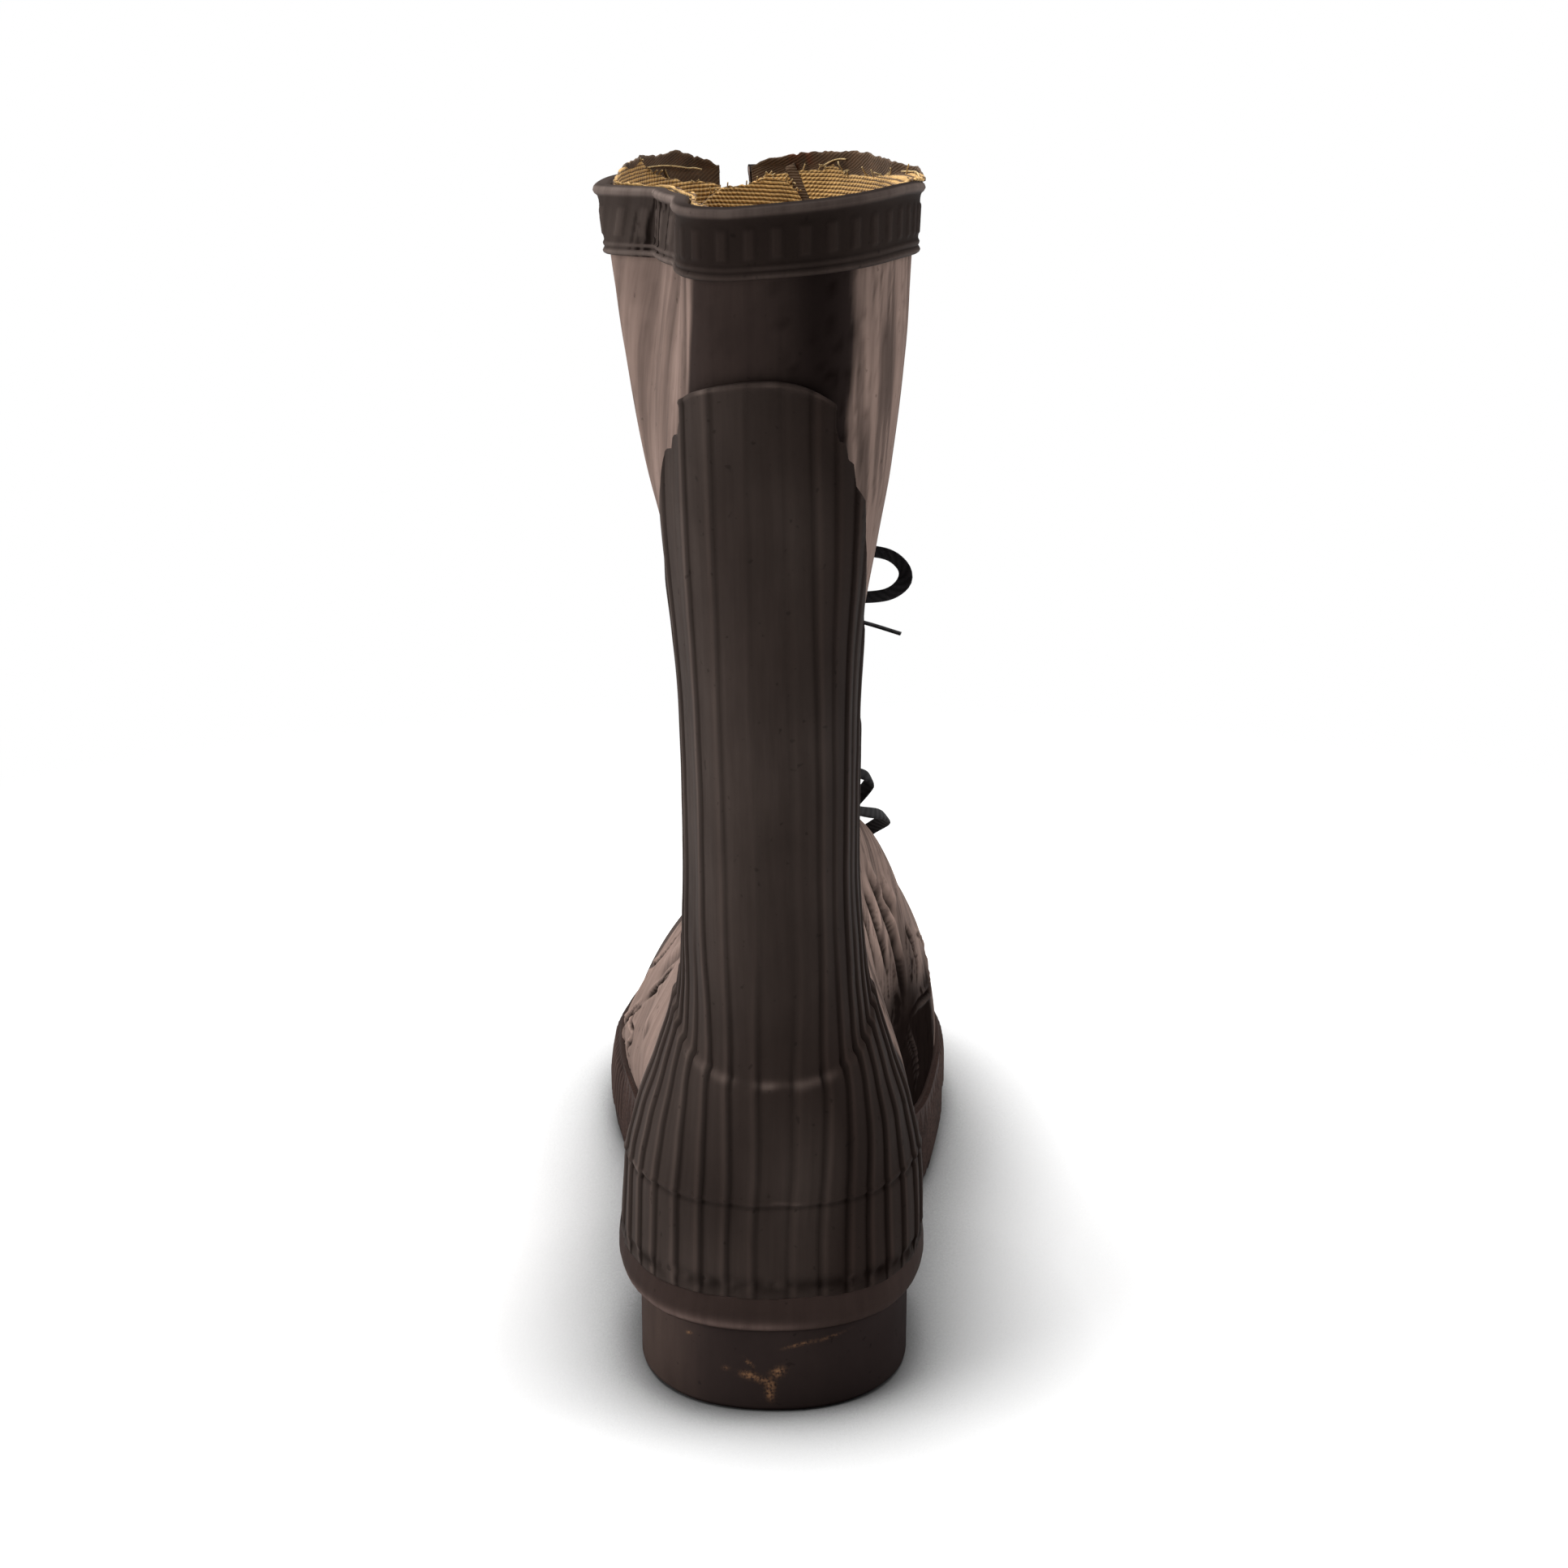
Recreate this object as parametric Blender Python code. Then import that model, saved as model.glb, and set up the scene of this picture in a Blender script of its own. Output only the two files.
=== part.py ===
"""Tall lace-up rubber boot for the left foot, built as an assembly of separate pieces.

The toe points along +Y, the inner (medial) side of the foot lies towards +X and +Z is up.
Lengths below are in millimetres, measured from the back of the heel on the centre line at the floor.
place_origin() then moves everything so that the origin is under the middle of the boot's box.
"""

import math
from collections import namedtuple

import bmesh
import bpy
import numpy as np
from mathutils import Matrix, Vector

MM = 0.001

# ---------------------------------------------------------------- driving dimensions
HEEL_HEIGHT = 26.0
HEEL_HALF_WIDTH = 39.0
HEEL_LENGTH = 80.0
HEEL_CENTRE = 42.0
HEEL_BEVEL = 1.2
HEEL_BACK_POWER = 0.89
HEEL_FRONT_POWER = 0.5
HEEL_STEPS = 24
HEEL_GROOVES = (24.0, 42.0, 60.0)
TOE_TIP = 303.0
TOE_ROUND_START = 226.0
TOE_POWER = 2.6
END_POWER = 2.2
HEEL_ROUND_START = 55.0
FOOT_BACK = 12.0

WALL = 2.6
VAMP_STEP = 0.8
VAMP_INSET = 0.6
GAP = 0.3
SNUG = 0.6
BLEND = 22.0
SHAFT_POWER = 2.3
LATERAL_POWER = 1.75
MEDIAL_POWER = 2.6
FOLD_IN = (14.0, 40.0)
FOLD_OUT = (66.0, 88.0)
SPINE_START = 70.0
ROUND_OFF = 32.0
ROUND_SHARE = 0.27
FOOT_REACH = 260.0
RAY_HALVINGS = 34
SHARP_ANGLE = 35.0

INSOLE_THICKNESS = 3.0
INSOLE_CLEARANCE = 1.8
TONGUE_THICKNESS = 2.4
TONGUE_CLEARANCE = 1.8
TONGUE_SIDE = 16.0
TONGUE_TUCK = 0.8
TONGUE_END = 18.0
TONGUE_COLUMNS = 8

RIB_COUNT = 8
RIB_RELIEF = (0.4, 0.9)
RIB_STEP = 0.2
STAY_INNER = 0.8
STAY_OUTER = 1.8
STAY_TOP = 290.0
STAY_ARCH = 6.0

EYELET_HEIGHTS = (118.0, 140.0, 162.0, 184.0, 206.0)
HOOK_HEIGHTS = (235.0, 261.0, 287.0)
EYELET_FROM_EDGE = 8.0
EYELET_SEAT = 0.75
HOOK_SEAT = 0.45
LACE_WIDTH = 5.0
LACE_THICKNESS = 1.2
LACE_OFFSET = 2.6
CROSSING_REACH = 3.5
CORD_RADIUS = 2.0
CORD_SPACING = 9.0
KNOT_HEIGHT = 214.0
KNOT_OFFSET = 8.0
KNOT_SIZE = (15.0, 8.0, 9.0)

TOOTH_DEPTH = 0.9
TEETH_START = 0.42
TEETH_PER_SIDE = 34
HEEL_COLUMNS = 14
GROOVE_DEPTH = 3.0
GROOVE_WIDTH = 4.5
GROOVE_PITCH = 15.0
TREAD_START = 160.0
TREAD_REACH = 90.0
CUTTER_HEIGHT = 20.0

# ---------------------------------------------------------------- tables, a row for each section
# The shaft and heel: level sections, each with where its back and front lie, its two half
# widths, and how deep the slack fold behind the lateral side cuts in (a share of the radius).
ShaftRow = namedtuple("ShaftRow", "height back front lateral medial fold")
SHAFT = (
    ShaftRow(20, 7.5, 88, 37.5, 36.0, 0.0),
    ShaftRow(44, 5.0, 96, 40.5, 38.5, 0.0),
    ShaftRow(62, 4.5, 100, 41.2, 39.6, 0.0),
    ShaftRow(78, 5, 104, 38.0, 37.5, 0.0),
    ShaftRow(92, 7, 108, 32.3, 32.5, 0.0),
    ShaftRow(107, 12, 112, 27.0, 27.0, 0.0),
    ShaftRow(125, 15, 116, 25.0, 24.5, 0.0),
    ShaftRow(150, 16, 119, 24.5, 23.0, 0.0),
    ShaftRow(190, 19, 122, 25.0, 23.5, 0.0),
    ShaftRow(215, 19, 125, 27.0, 25.5, 0.0),
    ShaftRow(240, 19, 129, 31.4, 29.8, 0.03),
    ShaftRow(262, 18, 133, 36.4, 33.8, 0.09),
    ShaftRow(290, 16, 138, 41.3, 36.9, 0.19),
    ShaftRow(319, 12, 143, 45.0, 38.7, 0.30),
    ShaftRow(336, 10, 147, 47.2, 39.8, 0.34),
)

# The foot of the last: upright sections across it. The ridge is the top line of the instep,
# which lies towards the big toe.
FootRow = namedtuple("FootRow", "along lateral medial ridge top")
FOOT = (
    FootRow(10, 36, 36, 0, 50),
    FootRow(60, 36, 36, 2, 82),
    FootRow(100, 37, 34, 6, 118),
    FootRow(128, 40, 40, 10, 141),
    FootRow(152, 43.2, 49, 13, 134),
    FootRow(177, 48, 54, 13, 118),
    FootRow(200, 51.5, 57, 12, 105),
    FootRow(225, 53, 58, 12, 96),
    FootRow(255, 51, 56, 11, 91),
    FootRow(303, 47, 52, 9, 93),
)

# The sole: how high its bottom, its deck and its upturned rim are along the foot.
SoleRow = namedtuple("SoleRow", "along bottom deck rim")
SOLE = (
    SoleRow(0, 26, 31, 36),
    SoleRow(84, 26, 31, 36),
    SoleRow(100, 21.5, 28, 34.5),
    SoleRow(122, 10, 21, 31.5),
    SoleRow(145, 2.5, 16, 29),
    SoleRow(165, 0, 14, 28),
    SoleRow(245, 0, 14, 28),
    SoleRow(275, 3, 17, 30),
    SoleRow(308, 11, 25, 36),
)

# The upper's rows: surfaces that cross the boot from its back, at a height there, forwards at
# a slope. front_x is where the front centre line runs. edge is the distance from that line to
# the front edge of the quarters: below the throat the vamp lies between them, above it nothing.
SliceRow = namedtuple("SliceRow", "name height slope follow front_x edge")
SLICES = (
    SliceRow("feather", 31, 0.0, 1.0, 8, 128),
    SliceRow("rim", 40, 0.0, 0.0, 8, 122),
    SliceRow("toe_side", 48, 0.02, 0.0, 8, 112),
    SliceRow("toe_top", 56, 0.07, 0.0, 9, 90),
    SliceRow("vamp_low", 64, 0.12, 0.0, 11, 58),
    SliceRow("vamp_high", 71, 0.165, 0.0, 12, 30),
    SliceRow("throat", 78, 0.19, 0.0, 12, 14),
    SliceRow("instep_low", 88, 0.22, 0.0, 11, 14.5),
    SliceRow("instep", 99, 0.24, 0.0, 9, 15),
    SliceRow("instep_high", 112, 0.24, 0.0, 7, 15),
    SliceRow("ankle", 128, 0.2, 0.0, 5, 14.5),
    SliceRow("shin_low", 150, 0.14, 0.0, 3, 13.5),
    SliceRow("shin", 176, 0.08, 0.0, 1, 12),
    SliceRow("calf_low", 204, 0.03, 0.0, -2, 10),
    SliceRow("calf", 233, 0.0, 0.0, -4, 8),
    SliceRow("calf_high", 262, 0.0, 0.0, -6, 6.5),
    SliceRow("panel", 291, 0.0, 0.0, -8, 5.5),
    SliceRow("band", 318, 0.0, 0.0, -10, 4.8),
    SliceRow("collar", 336, 0.0, 0.0, -11, 4.4),
)
THROAT_ROW = [row.name for row in SLICES].index("throat")

# Shares of the way from the back centre line to the quarter's front edge.
LATERAL_SHARES = (
    0.05, 0.10, 0.15, 0.21, 0.27, 0.33, 0.38, 0.42, 0.46, 0.50,
    0.54, 0.60, 0.67, 0.74, 0.81, 0.88, 0.94, 1.0,
)
MEDIAL_SHARES = (
    0.07, 0.14, 0.21, 0.28, 0.35, 0.41, 0.46, 0.50, 0.54, 0.58, 0.63, 0.69, 0.76, 0.82, 0.88, 0.94, 1.0,
)
VAMP_STEPS = 16

# The sole's side, from its bottom edge up to its rim: share of the height, and how far it
# stands out of the upper at the heel and at the forefoot.
SideRow = namedtuple("SideRow", "share heel fore")
SIDE = (
    SideRow(0.0, 0.0, 2.0),
    SideRow(0.25, 1.8, 3.5),
    SideRow(0.72, 2.1, 3.5),
    SideRow(1.0, 1.3, 2.4),
)

# The ribbed counter and back stay: how far round the boot it reaches on each side, at each
# height of the back.
StayRow = namedtuple("StayRow", "height lateral medial")
STAY = (
    StayRow(36, 70, 70),
    StayRow(52, 69, 68),
    StayRow(66, 62, 61),
    StayRow(80, 67, 63),
    StayRow(88, 69, 64),
    StayRow(99, 63, 62),
    StayRow(107, 57, 58),
    StayRow(121, 50, 53),
    StayRow(140, 50, 49),
    StayRow(184, 50, 46.5),
    StayRow(212, 49, 40),
    StayRow(237, 46.5, 32),
    StayRow(260, 41, 26.5),
    StayRow(270, 37, 23.5),
    StayRow(278, 29, 20.5),
    StayRow(284, 26, 18),
)
STAY_ROWS = (37.5, 48, 56, 64, 71, 78, 88, 99, 112, 128, 150, 176, 204, 220, 233, 247, 262, 276)

# The collar band's cross-section: how far out of the shaft and how high.
BandPoint = namedtuple("BandPoint", "offset height")
BAND = (
    BandPoint(0.6, 318.0),
    BandPoint(1.9, 318.0),
    BandPoint(2.6, 319.3),
    BandPoint(1.9, 320.6),
    BandPoint(1.3, 321.0),
    BandPoint(1.3, 332.8),
    BandPoint(2.0, 333.2),
    BandPoint(2.6, 334.5),
    BandPoint(1.9, 335.8),
    BandPoint(0.6, 336.0),
)

# Turned shapes: distance from the axis and height above the seat.
TurnedPoint = namedtuple("TurnedPoint", "radius height")
EYELET = (TurnedPoint(2.2, 0.0), TurnedPoint(4.3, 0.0), TurnedPoint(3.5, 1.1), TurnedPoint(2.6, 1.1))
HOOK = (
    TurnedPoint(0.0, 0.0),
    TurnedPoint(4.3, 0.0),
    TurnedPoint(1.7, 1.0),
    TurnedPoint(1.7, 2.6),
    TurnedPoint(3.8, 3.4),
    TurnedPoint(0.0, 4.8),
)

# The bow: routes of its loops and ends, measured from the middle of the knot.
BOW = {
    "lace_loop_medial": (
        (7.8, 0.4, 1.0), (13, 1.5, 3.6), (22, 4, 6.2), (31, 6, 7), (39, 6.5, 5.6), (43.6, 6.2, 1.6),
        (43.6, 5.4, -2.8), (39, 5, -6.4), (31, 4.8, -7.4), (22, 4.2, -6.4), (14, 3, -4.4),
        (8.2, 1.6, -2.2),
    ),
    "lace_loop_lateral": (
        (-7.8, 0.4, 0.8), (-13, 2, 1.6), (-18.5, 4, -2), (-21.5, 5, -9), (-22, 5.5, -18),
        (-20, 5.5, -26), (-14.5, 5, -31), (-8.5, 4.5, -28.5), (-5.2, 4, -22), (-4, 3.4, -14),
        (-3.6, 2.4, -5.6),
    ),
    "lace_end_medial": (
        (2.4, 4.6, -1.8), (7, 8.8, -7), (14.5, 11.2, -12), (24, 11.4, -15), (34, 10.2, -17.5),
        (43, 8.4, -20),
    ),
    "lace_end_lateral": (
        (-2.4, 4.6, -1.8), (-6, 9, -8), (-8, 10.8, -17), (-9.5, 10.6, -28), (-10.5, 8.8, -39),
        (-11, 7.2, -50), (-11.5, 7, -60),
    ),
}


# ---------------------------------------------------------------- smooth reading of the tables
def column(table, key, field, at):
    """The table's field at places along key, on a smooth curve that never overshoots a row."""
    xs = np.array([getattr(row, key) for row in table], float)
    ys = np.array([getattr(row, field) for row in table], float)
    steps = np.diff(xs)
    slopes = np.diff(ys) / steps
    tangents = np.empty(len(xs))
    tangents[0], tangents[-1] = slopes[0], slopes[-1]
    before, after = slopes[:-1], slopes[1:]
    with np.errstate(divide="ignore", invalid="ignore"):
        mean = 2.0 * before * after / (before + after)
    tangents[1:-1] = np.where(before * after > 0, mean, 0.0)
    at = np.clip(np.asarray(at, float), xs[0], xs[-1])
    i = np.clip(np.searchsorted(xs, at, side="right") - 1, 0, len(steps) - 1)
    h = steps[i]
    t = (at - xs[i]) / h
    start = (1 + 2 * t) * (1 - t) ** 2 * ys[i] + t * (1 - t) ** 2 * h * tangents[i]
    end = t * t * (3 - 2 * t) * ys[i + 1] + t * t * (t - 1) * h * tangents[i + 1]
    return start + end


NumberedRow = namedtuple("NumberedRow", "number height slope follow front_x edge")
NUMBERED = tuple(NumberedRow(i, *row[1:]) for i, row in enumerate(SLICES))


def slice_value(field, v):
    return column(NUMBERED, "number", field, v)


def row_at_height(height):
    """The row number of the slice whose back lies at this height."""
    rows = np.linspace(0, len(SLICES) - 1, 600)
    return float(np.interp(height, slice_value("height", rows), rows))


def ease(span, value):
    """0 before the span, 1 after it and a smooth step between."""
    t = np.clip((value - span[0]) / (span[1] - span[0]), 0, 1)
    return t * t * (3 - 2 * t)


# ---------------------------------------------------------------- the last's own form
def shaft_form(x, y, z):
    """Below zero inside the shaft and heel, in about millimetres."""
    back = column(SHAFT, "height", "back", z)
    front = column(SHAFT, "height", "front", z)
    half = np.where(x < 0, column(SHAFT, "height", "lateral", z), column(SHAFT, "height", "medial", z))
    depth = (front - back) / 2
    along = y - (front + back) / 2
    radius = (np.abs(x / half) ** SHAFT_POWER + np.abs(along / depth) ** SHAFT_POWER) ** (1 / SHAFT_POWER)
    angle = np.degrees(np.arctan2(-x, -along))
    fold = column(SHAFT, "height", "fold", z) * ease(FOLD_IN, angle) * (1 - ease(FOLD_OUT, angle))
    return (radius / (1 - fold) - 1) * column(SHAFT, "height", "medial", z)


def foot_form(x, y, z):
    """Below zero inside the foot, in about millimetres."""
    toe = np.clip((y - TOE_ROUND_START) / (TOE_TIP - TOE_ROUND_START), 0, None)
    heel = np.clip((HEEL_ROUND_START - y) / (HEEL_ROUND_START - FOOT_BACK), 0, None)
    ridge = column(FOOT, "along", "ridge", y)
    lateral = -column(FOOT, "along", "lateral", y)
    medial = column(FOOT, "along", "medial", y)
    deck = column(SOLE, "along", "deck", y)
    high = column(FOOT, "along", "top", y) - deck
    half = np.where(x < ridge, ridge - lateral, medial - ridge)
    power = np.where(x < ridge, LATERAL_POWER, MEDIAL_POWER)
    across = np.abs(x - ridge) / half
    up = np.clip(z - deck, 0, None) / high
    arch = (across**power + up**power) ** (1 / power)
    radius = (arch**END_POWER + toe**TOE_POWER + heel**2) ** (1 / END_POWER)
    return (radius - 1) * np.minimum((medial - lateral) / 2, high)


def form(x, y, z):
    """The whole last: shaft and foot run into each other over about the blend's width."""
    a, b = shaft_form(x, y, z), foot_form(x, y, z)
    share = np.clip(0.5 + 0.5 * (b - a) / BLEND, 0, 1)
    return b * (1 - share) + a * share - BLEND * share * (1 - share)


def form_normal(points):
    """Unit vectors straight out of the last's surface."""
    step = 0.4
    out = np.empty_like(points)
    for axis in range(3):
        ahead, behind = points.copy(), points.copy()
        ahead[:, axis] += step
        behind[:, axis] -= step
        out[:, axis] = form(*ahead.T) - form(*behind.T)
    return out / np.linalg.norm(out, axis=1)[:, None]


def cast(start, direction, height_at):
    """Where rays from inside the last leave it. height_at gives a ray's height at each y."""
    low, high = np.zeros(len(start)), np.full(len(start), FOOT_REACH)
    for _ in range(RAY_HALVINGS):
        middle = (low + high) / 2
        plan = start + direction * middle[:, None]
        inside = form(plan[:, 0], plan[:, 1], height_at(plan[:, 1])) < 0
        low, high = np.where(inside, middle, low), np.where(inside, high, middle)
    plan = start + direction * low[:, None]
    return np.column_stack([plan, height_at(plan[:, 1])])


class Section:
    """One cut through the last: a closed line, read by its distance from the back centre.

    height_at gives the cut's height at each y, and front_x where its front centre line runs.
    Distances run negative round the lateral side and positive round the medial side, and both
    ends are the front centre line.
    """

    SAMPLES = 90

    def __init__(self, height_at, front_x):
        middle = np.array([[0.0, SPINE_START]])
        back = cast(middle, np.array([[0.0, -1.0]]), height_at)[0, 1]
        front = cast(middle + [[front_x, 0]], np.array([[0.0, 1.0]]), height_at)[0, 1]
        round_off = min(ROUND_OFF, ROUND_SHARE * (front - back))
        first, last = back + round_off, front - round_off
        arc, straight = math.pi / 2 * round_off, last - first
        travel = np.linspace(0, 2 * arc + straight, self.SAMPLES)
        turn = np.where(travel < arc, travel, np.clip(travel - straight, arc, None)) / round_off
        along = np.clip(first + travel - arc, first, last)
        spine_x = front_x * (along - back) / (front - back)
        sides = []
        for side in (-1, 1):
            direction = np.column_stack([side * np.sin(turn), -np.cos(turn)])
            sides.append(cast(np.column_stack([spine_x, along]), direction, height_at))
        loop = np.vstack([sides[0][::-1], sides[1][1:]])
        steps = np.linalg.norm(np.diff(loop, axis=0), axis=1)
        distance = np.concatenate([[0], np.cumsum(steps)])
        self.points = loop
        self.distance = distance - distance[self.SAMPLES - 1]
        self.lateral, self.medial = -self.distance[0], self.distance[-1]

    def at(self, distances):
        return np.column_stack([np.interp(distances, self.distance, self.points[:, i]) for i in range(3)])

    def at_shares(self, shares):
        """Points at shares of the way to the front, round the medial side and back on the lateral."""
        back_again = [-share * self.lateral for share in reversed(shares[1:-1])]
        return self.at([share * self.medial for share in shares] + back_again)


SECTIONS = {}


def section(v):
    """The upper's slice number v, which may lie between two rows of the table."""
    key = round(float(v), 4)
    if key not in SECTIONS:
        height, slope = slice_value("height", key), slice_value("slope", key)
        follow, front_x = slice_value("follow", key), slice_value("front_x", key)

        def height_at(y):
            return (1 - follow) * (height + slope * y) + follow * column(SOLE, "along", "deck", y)

        SECTIONS[key] = Section(height_at, front_x)
    return SECTIONS[key]


def sole_section(level):
    """The last's outline along a level of the sole's table."""
    if level not in SECTIONS:
        SECTIONS[level] = Section(lambda y: column(SOLE, "along", level, y), SLICES[0].front_x)
    return SECTIONS[level]


def surface(v, distances, offset=0.0):
    """Points of one slice, each at a distance round it and an offset out of the last's surface."""
    points = section(v).at(np.asarray(distances, float))
    return points + form_normal(points) * np.reshape(offset, (-1, 1))


def front_distance(v, from_front):
    """A distance from the front centre line, negative to the lateral side, as a slice's distance."""
    s = section(v)
    return np.where(np.asarray(from_front) < 0, -s.lateral - from_front, s.medial - from_front)


# ---------------------------------------------------------------- meshes
def add_object(name, bm, material):
    mesh = bpy.data.meshes.new(name)
    bm.normal_update()
    bm.to_mesh(mesh)
    bm.free()
    mesh.materials.append(material)
    mesh.shade_smooth()
    mesh.set_sharp_from_angle(angle=math.radians(SHARP_ANGLE))
    piece = bpy.data.objects.new(name, mesh)
    bpy.context.scene.collection.objects.link(piece)
    return piece


def skin_solid(name, outer, inner, cells, material):
    """A closed wall between two layers of the same points. Cells are faces of the outer layer."""
    bm = bmesh.new()
    used = sorted({key for cell in cells for key in cell})
    outside = {key: bm.verts.new(Vector(outer[key]) * MM) for key in used}
    inside = {key: bm.verts.new(Vector(inner[key]) * MM) for key in used}
    sides = set()
    for cell in cells:
        bm.faces.new([outside[key] for key in cell])
        bm.faces.new([inside[key] for key in reversed(cell)])
        sides.update((cell[i], cell[(i + 1) % len(cell)]) for i in range(len(cell)))
    for a, b in sides:
        if (b, a) not in sides:
            bm.faces.new([outside[b], outside[a], inside[a], inside[b]])
    bmesh.ops.recalc_face_normals(bm, faces=bm.faces)
    return add_object(name, bm, material)


def ring_solid(name, rings, material):
    """A closed solid through level rings, bottom first. Both ends are filled straight across.

    Each ring starts at the back centre, runs round one side to the toe and back on the other.
    """
    bm = bmesh.new()
    count = len(rings[0])
    loops = [[bm.verts.new(Vector(p) * MM) for p in ring] for ring in rings]
    for low, high in zip(loops, loops[1:]):
        for i in range(count):
            j = (i + 1) % count
            bm.faces.new([low[i], low[j], high[j], high[i]])
    for loop, flip in ((loops[0], True), (loops[-1], False)):
        for i in range(count // 2):
            corners = [loop[i], loop[i + 1], loop[count - i - 1], loop[(count - i) % count]]
            corners = list(dict.fromkeys(corners))
            bm.faces.new(corners[::-1] if flip else corners)
    bmesh.ops.triangulate(bm, faces=bm.faces)
    bmesh.ops.recalc_face_normals(bm, faces=bm.faces)
    return add_object(name, bm, material)


def groove_box(along, bottom):
    """A box for cutter_boxes that cuts a groove straight across the sole."""
    middle = bottom + GROOVE_DEPTH - CUTTER_HEIGHT / 2
    return (0, along, middle), (2 * TREAD_REACH, GROOVE_WIDTH, CUTTER_HEIGHT)


def cutter_boxes(name, boxes):
    """Boxes that cut grooves. Each is a centre and a size, in millimetres."""
    bm = bmesh.new()
    for centre, size in boxes:
        made = bmesh.ops.create_cube(bm, size=1.0)["verts"]
        bmesh.ops.scale(bm, vec=Vector(size) * MM, verts=made)
        bmesh.ops.translate(bm, vec=Vector(centre) * MM, verts=made)
    mesh = bpy.data.meshes.new(name)
    bm.to_mesh(mesh)
    bm.free()
    cutter = bpy.data.objects.new(name, mesh)
    bpy.context.scene.collection.objects.link(cutter)
    cutter.hide_render = True
    cutter.display_type = "WIRE"
    return cutter


def cut(piece, cutter):
    modifier = piece.modifiers.new("grooves", "BOOLEAN")
    modifier.operation = "DIFFERENCE"
    modifier.solver = "EXACT"
    modifier.object = cutter


def rubber(name, colour, roughness=0.6, metallic=0.0):
    material = bpy.data.materials.new(name)
    material.use_nodes = True
    shader = material.node_tree.nodes["Principled BSDF"]
    shader.inputs["Base Color"].default_value = (*colour, 1.0)
    shader.inputs["Roughness"].default_value = roughness
    shader.inputs["Metallic"].default_value = metallic
    return material


# ---------------------------------------------------------------- pieces
def make_upper():
    """One hollow rubber wall: quarters and shaft, and the vamp, which lies one step lower."""
    outer, inner, cells = {}, {}, []
    lateral, medial = len(LATERAL_SHARES), len(MEDIAL_SHARES)
    quarter_columns = lateral + medial + 1
    shares = [-s for s in reversed(LATERAL_SHARES)] + [0.0] + list(MEDIAL_SHARES)
    for v in range(len(SLICES)):
        s, edge = section(v), float(slice_value("edge", v))
        ends = (s.lateral - edge, s.medial - edge)
        distances = [share * ends[share > 0] for share in shares]
        offsets = [0.0] * len(distances)
        if v <= THROAT_ROW:
            across = np.linspace(edge - VAMP_INSET, VAMP_INSET - edge, VAMP_STEPS)
            distances += list(front_distance(v, across))
            offsets += [-VAMP_STEP] * VAMP_STEPS
        outside = surface(v, distances, offsets)
        inside = surface(v, distances, -WALL)
        raised = [0, 0, GAP] if v == 0 else [0, 0, 0]
        for c in range(len(distances)):
            outer[v, c], inner[v, c] = outside[c] + raised, inside[c] + raised
        if v == 0:
            continue
        count = quarter_columns + (VAMP_STEPS if v <= THROAT_ROW else 0)
        for c in range(count if v <= THROAT_ROW else count - 1):
            d = (c + 1) % count
            cells.append(((v - 1, c), (v - 1, d), (v, d), (v, c)))
    return skin_solid("upper", outer, inner, cells, BROWN)


def sole_shares():
    """Shares of the way from the heel to the toe, and whether a tooth of the edge is there."""
    plain = list(np.linspace(0, TEETH_START, HEEL_COLUMNS + 1)[:-1])
    toothed = list(np.linspace(TEETH_START, 1.0, 2 * TEETH_PER_SIDE + 1))
    teeth = [False] * len(plain) + [i % 2 == 1 for i in range(len(toothed))]
    teeth[-1] = False
    return plain + toothed, teeth


def mirrored(values):
    """Values for a whole ring from those of one side, whose two ends aren't repeated."""
    return np.concatenate([values, values[1:-1][::-1]])


def outward(points):
    """Level unit vectors out of the last's outline."""
    normal = form_normal(points)
    normal[:, 2] = 0
    return normal / np.linalg.norm(normal, axis=1)[:, None]


def sole_ring(shares, offsets, level_share):
    """A ring round the upper, level_share of the way from the sole's bottom to its rim."""
    deck_line = sole_section("deck").at_shares(shares)
    rim_line = sole_section("rim").at_shares(shares)
    along = deck_line[:, 1]
    bottom, rim = column(SOLE, "along", "bottom", along), column(SOLE, "along", "rim", along)
    height = bottom + level_share * (rim - bottom)
    lean = np.clip((height - deck_line[:, 2]) / (rim - deck_line[:, 2]), 0, 1)[:, None]
    ring = deck_line + (rim_line - deck_line) * lean
    ring += outward(ring) * mirrored(offsets)[:, None]
    ring[:, 2] = height
    return ring


def deck_ring(shares, offset, raised):
    """A ring on the deck, offset out of the upper's outline and raised above the deck."""
    ring = sole_section("deck").at_shares(shares)
    return ring + outward(ring) * offset + [0, 0, raised]


def make_outsole():
    """Bottom, side and upturned rim in one, with teeth round the forefoot's edge and a tread."""
    shares, teeth = sole_shares()
    fore = ease((TEETH_START / 2, TEETH_START), np.array(shares))
    rings = []
    for row in SIDE:
        bite = TOOTH_DEPTH if 0 < row.share < 1 else 0.0
        out = row.heel + (row.fore - row.heel) * fore - np.where(teeth, bite, 0.0)
        rings.append(sole_ring(shares, out, row.share))
    rings.append(sole_ring(shares, np.full(len(shares), SNUG), 1.0))
    rings.append(deck_ring(shares, SNUG, -GAP))
    outsole = ring_solid("outsole", rings, BROWN)
    boxes = []
    for along in np.arange(TREAD_START, TOE_TIP, GROOVE_PITCH):
        boxes.append(groove_box(along, float(column(SOLE, "along", "bottom", along))))
    cut(outsole, cutter_boxes("tread_cutter", boxes))
    return outsole


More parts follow.
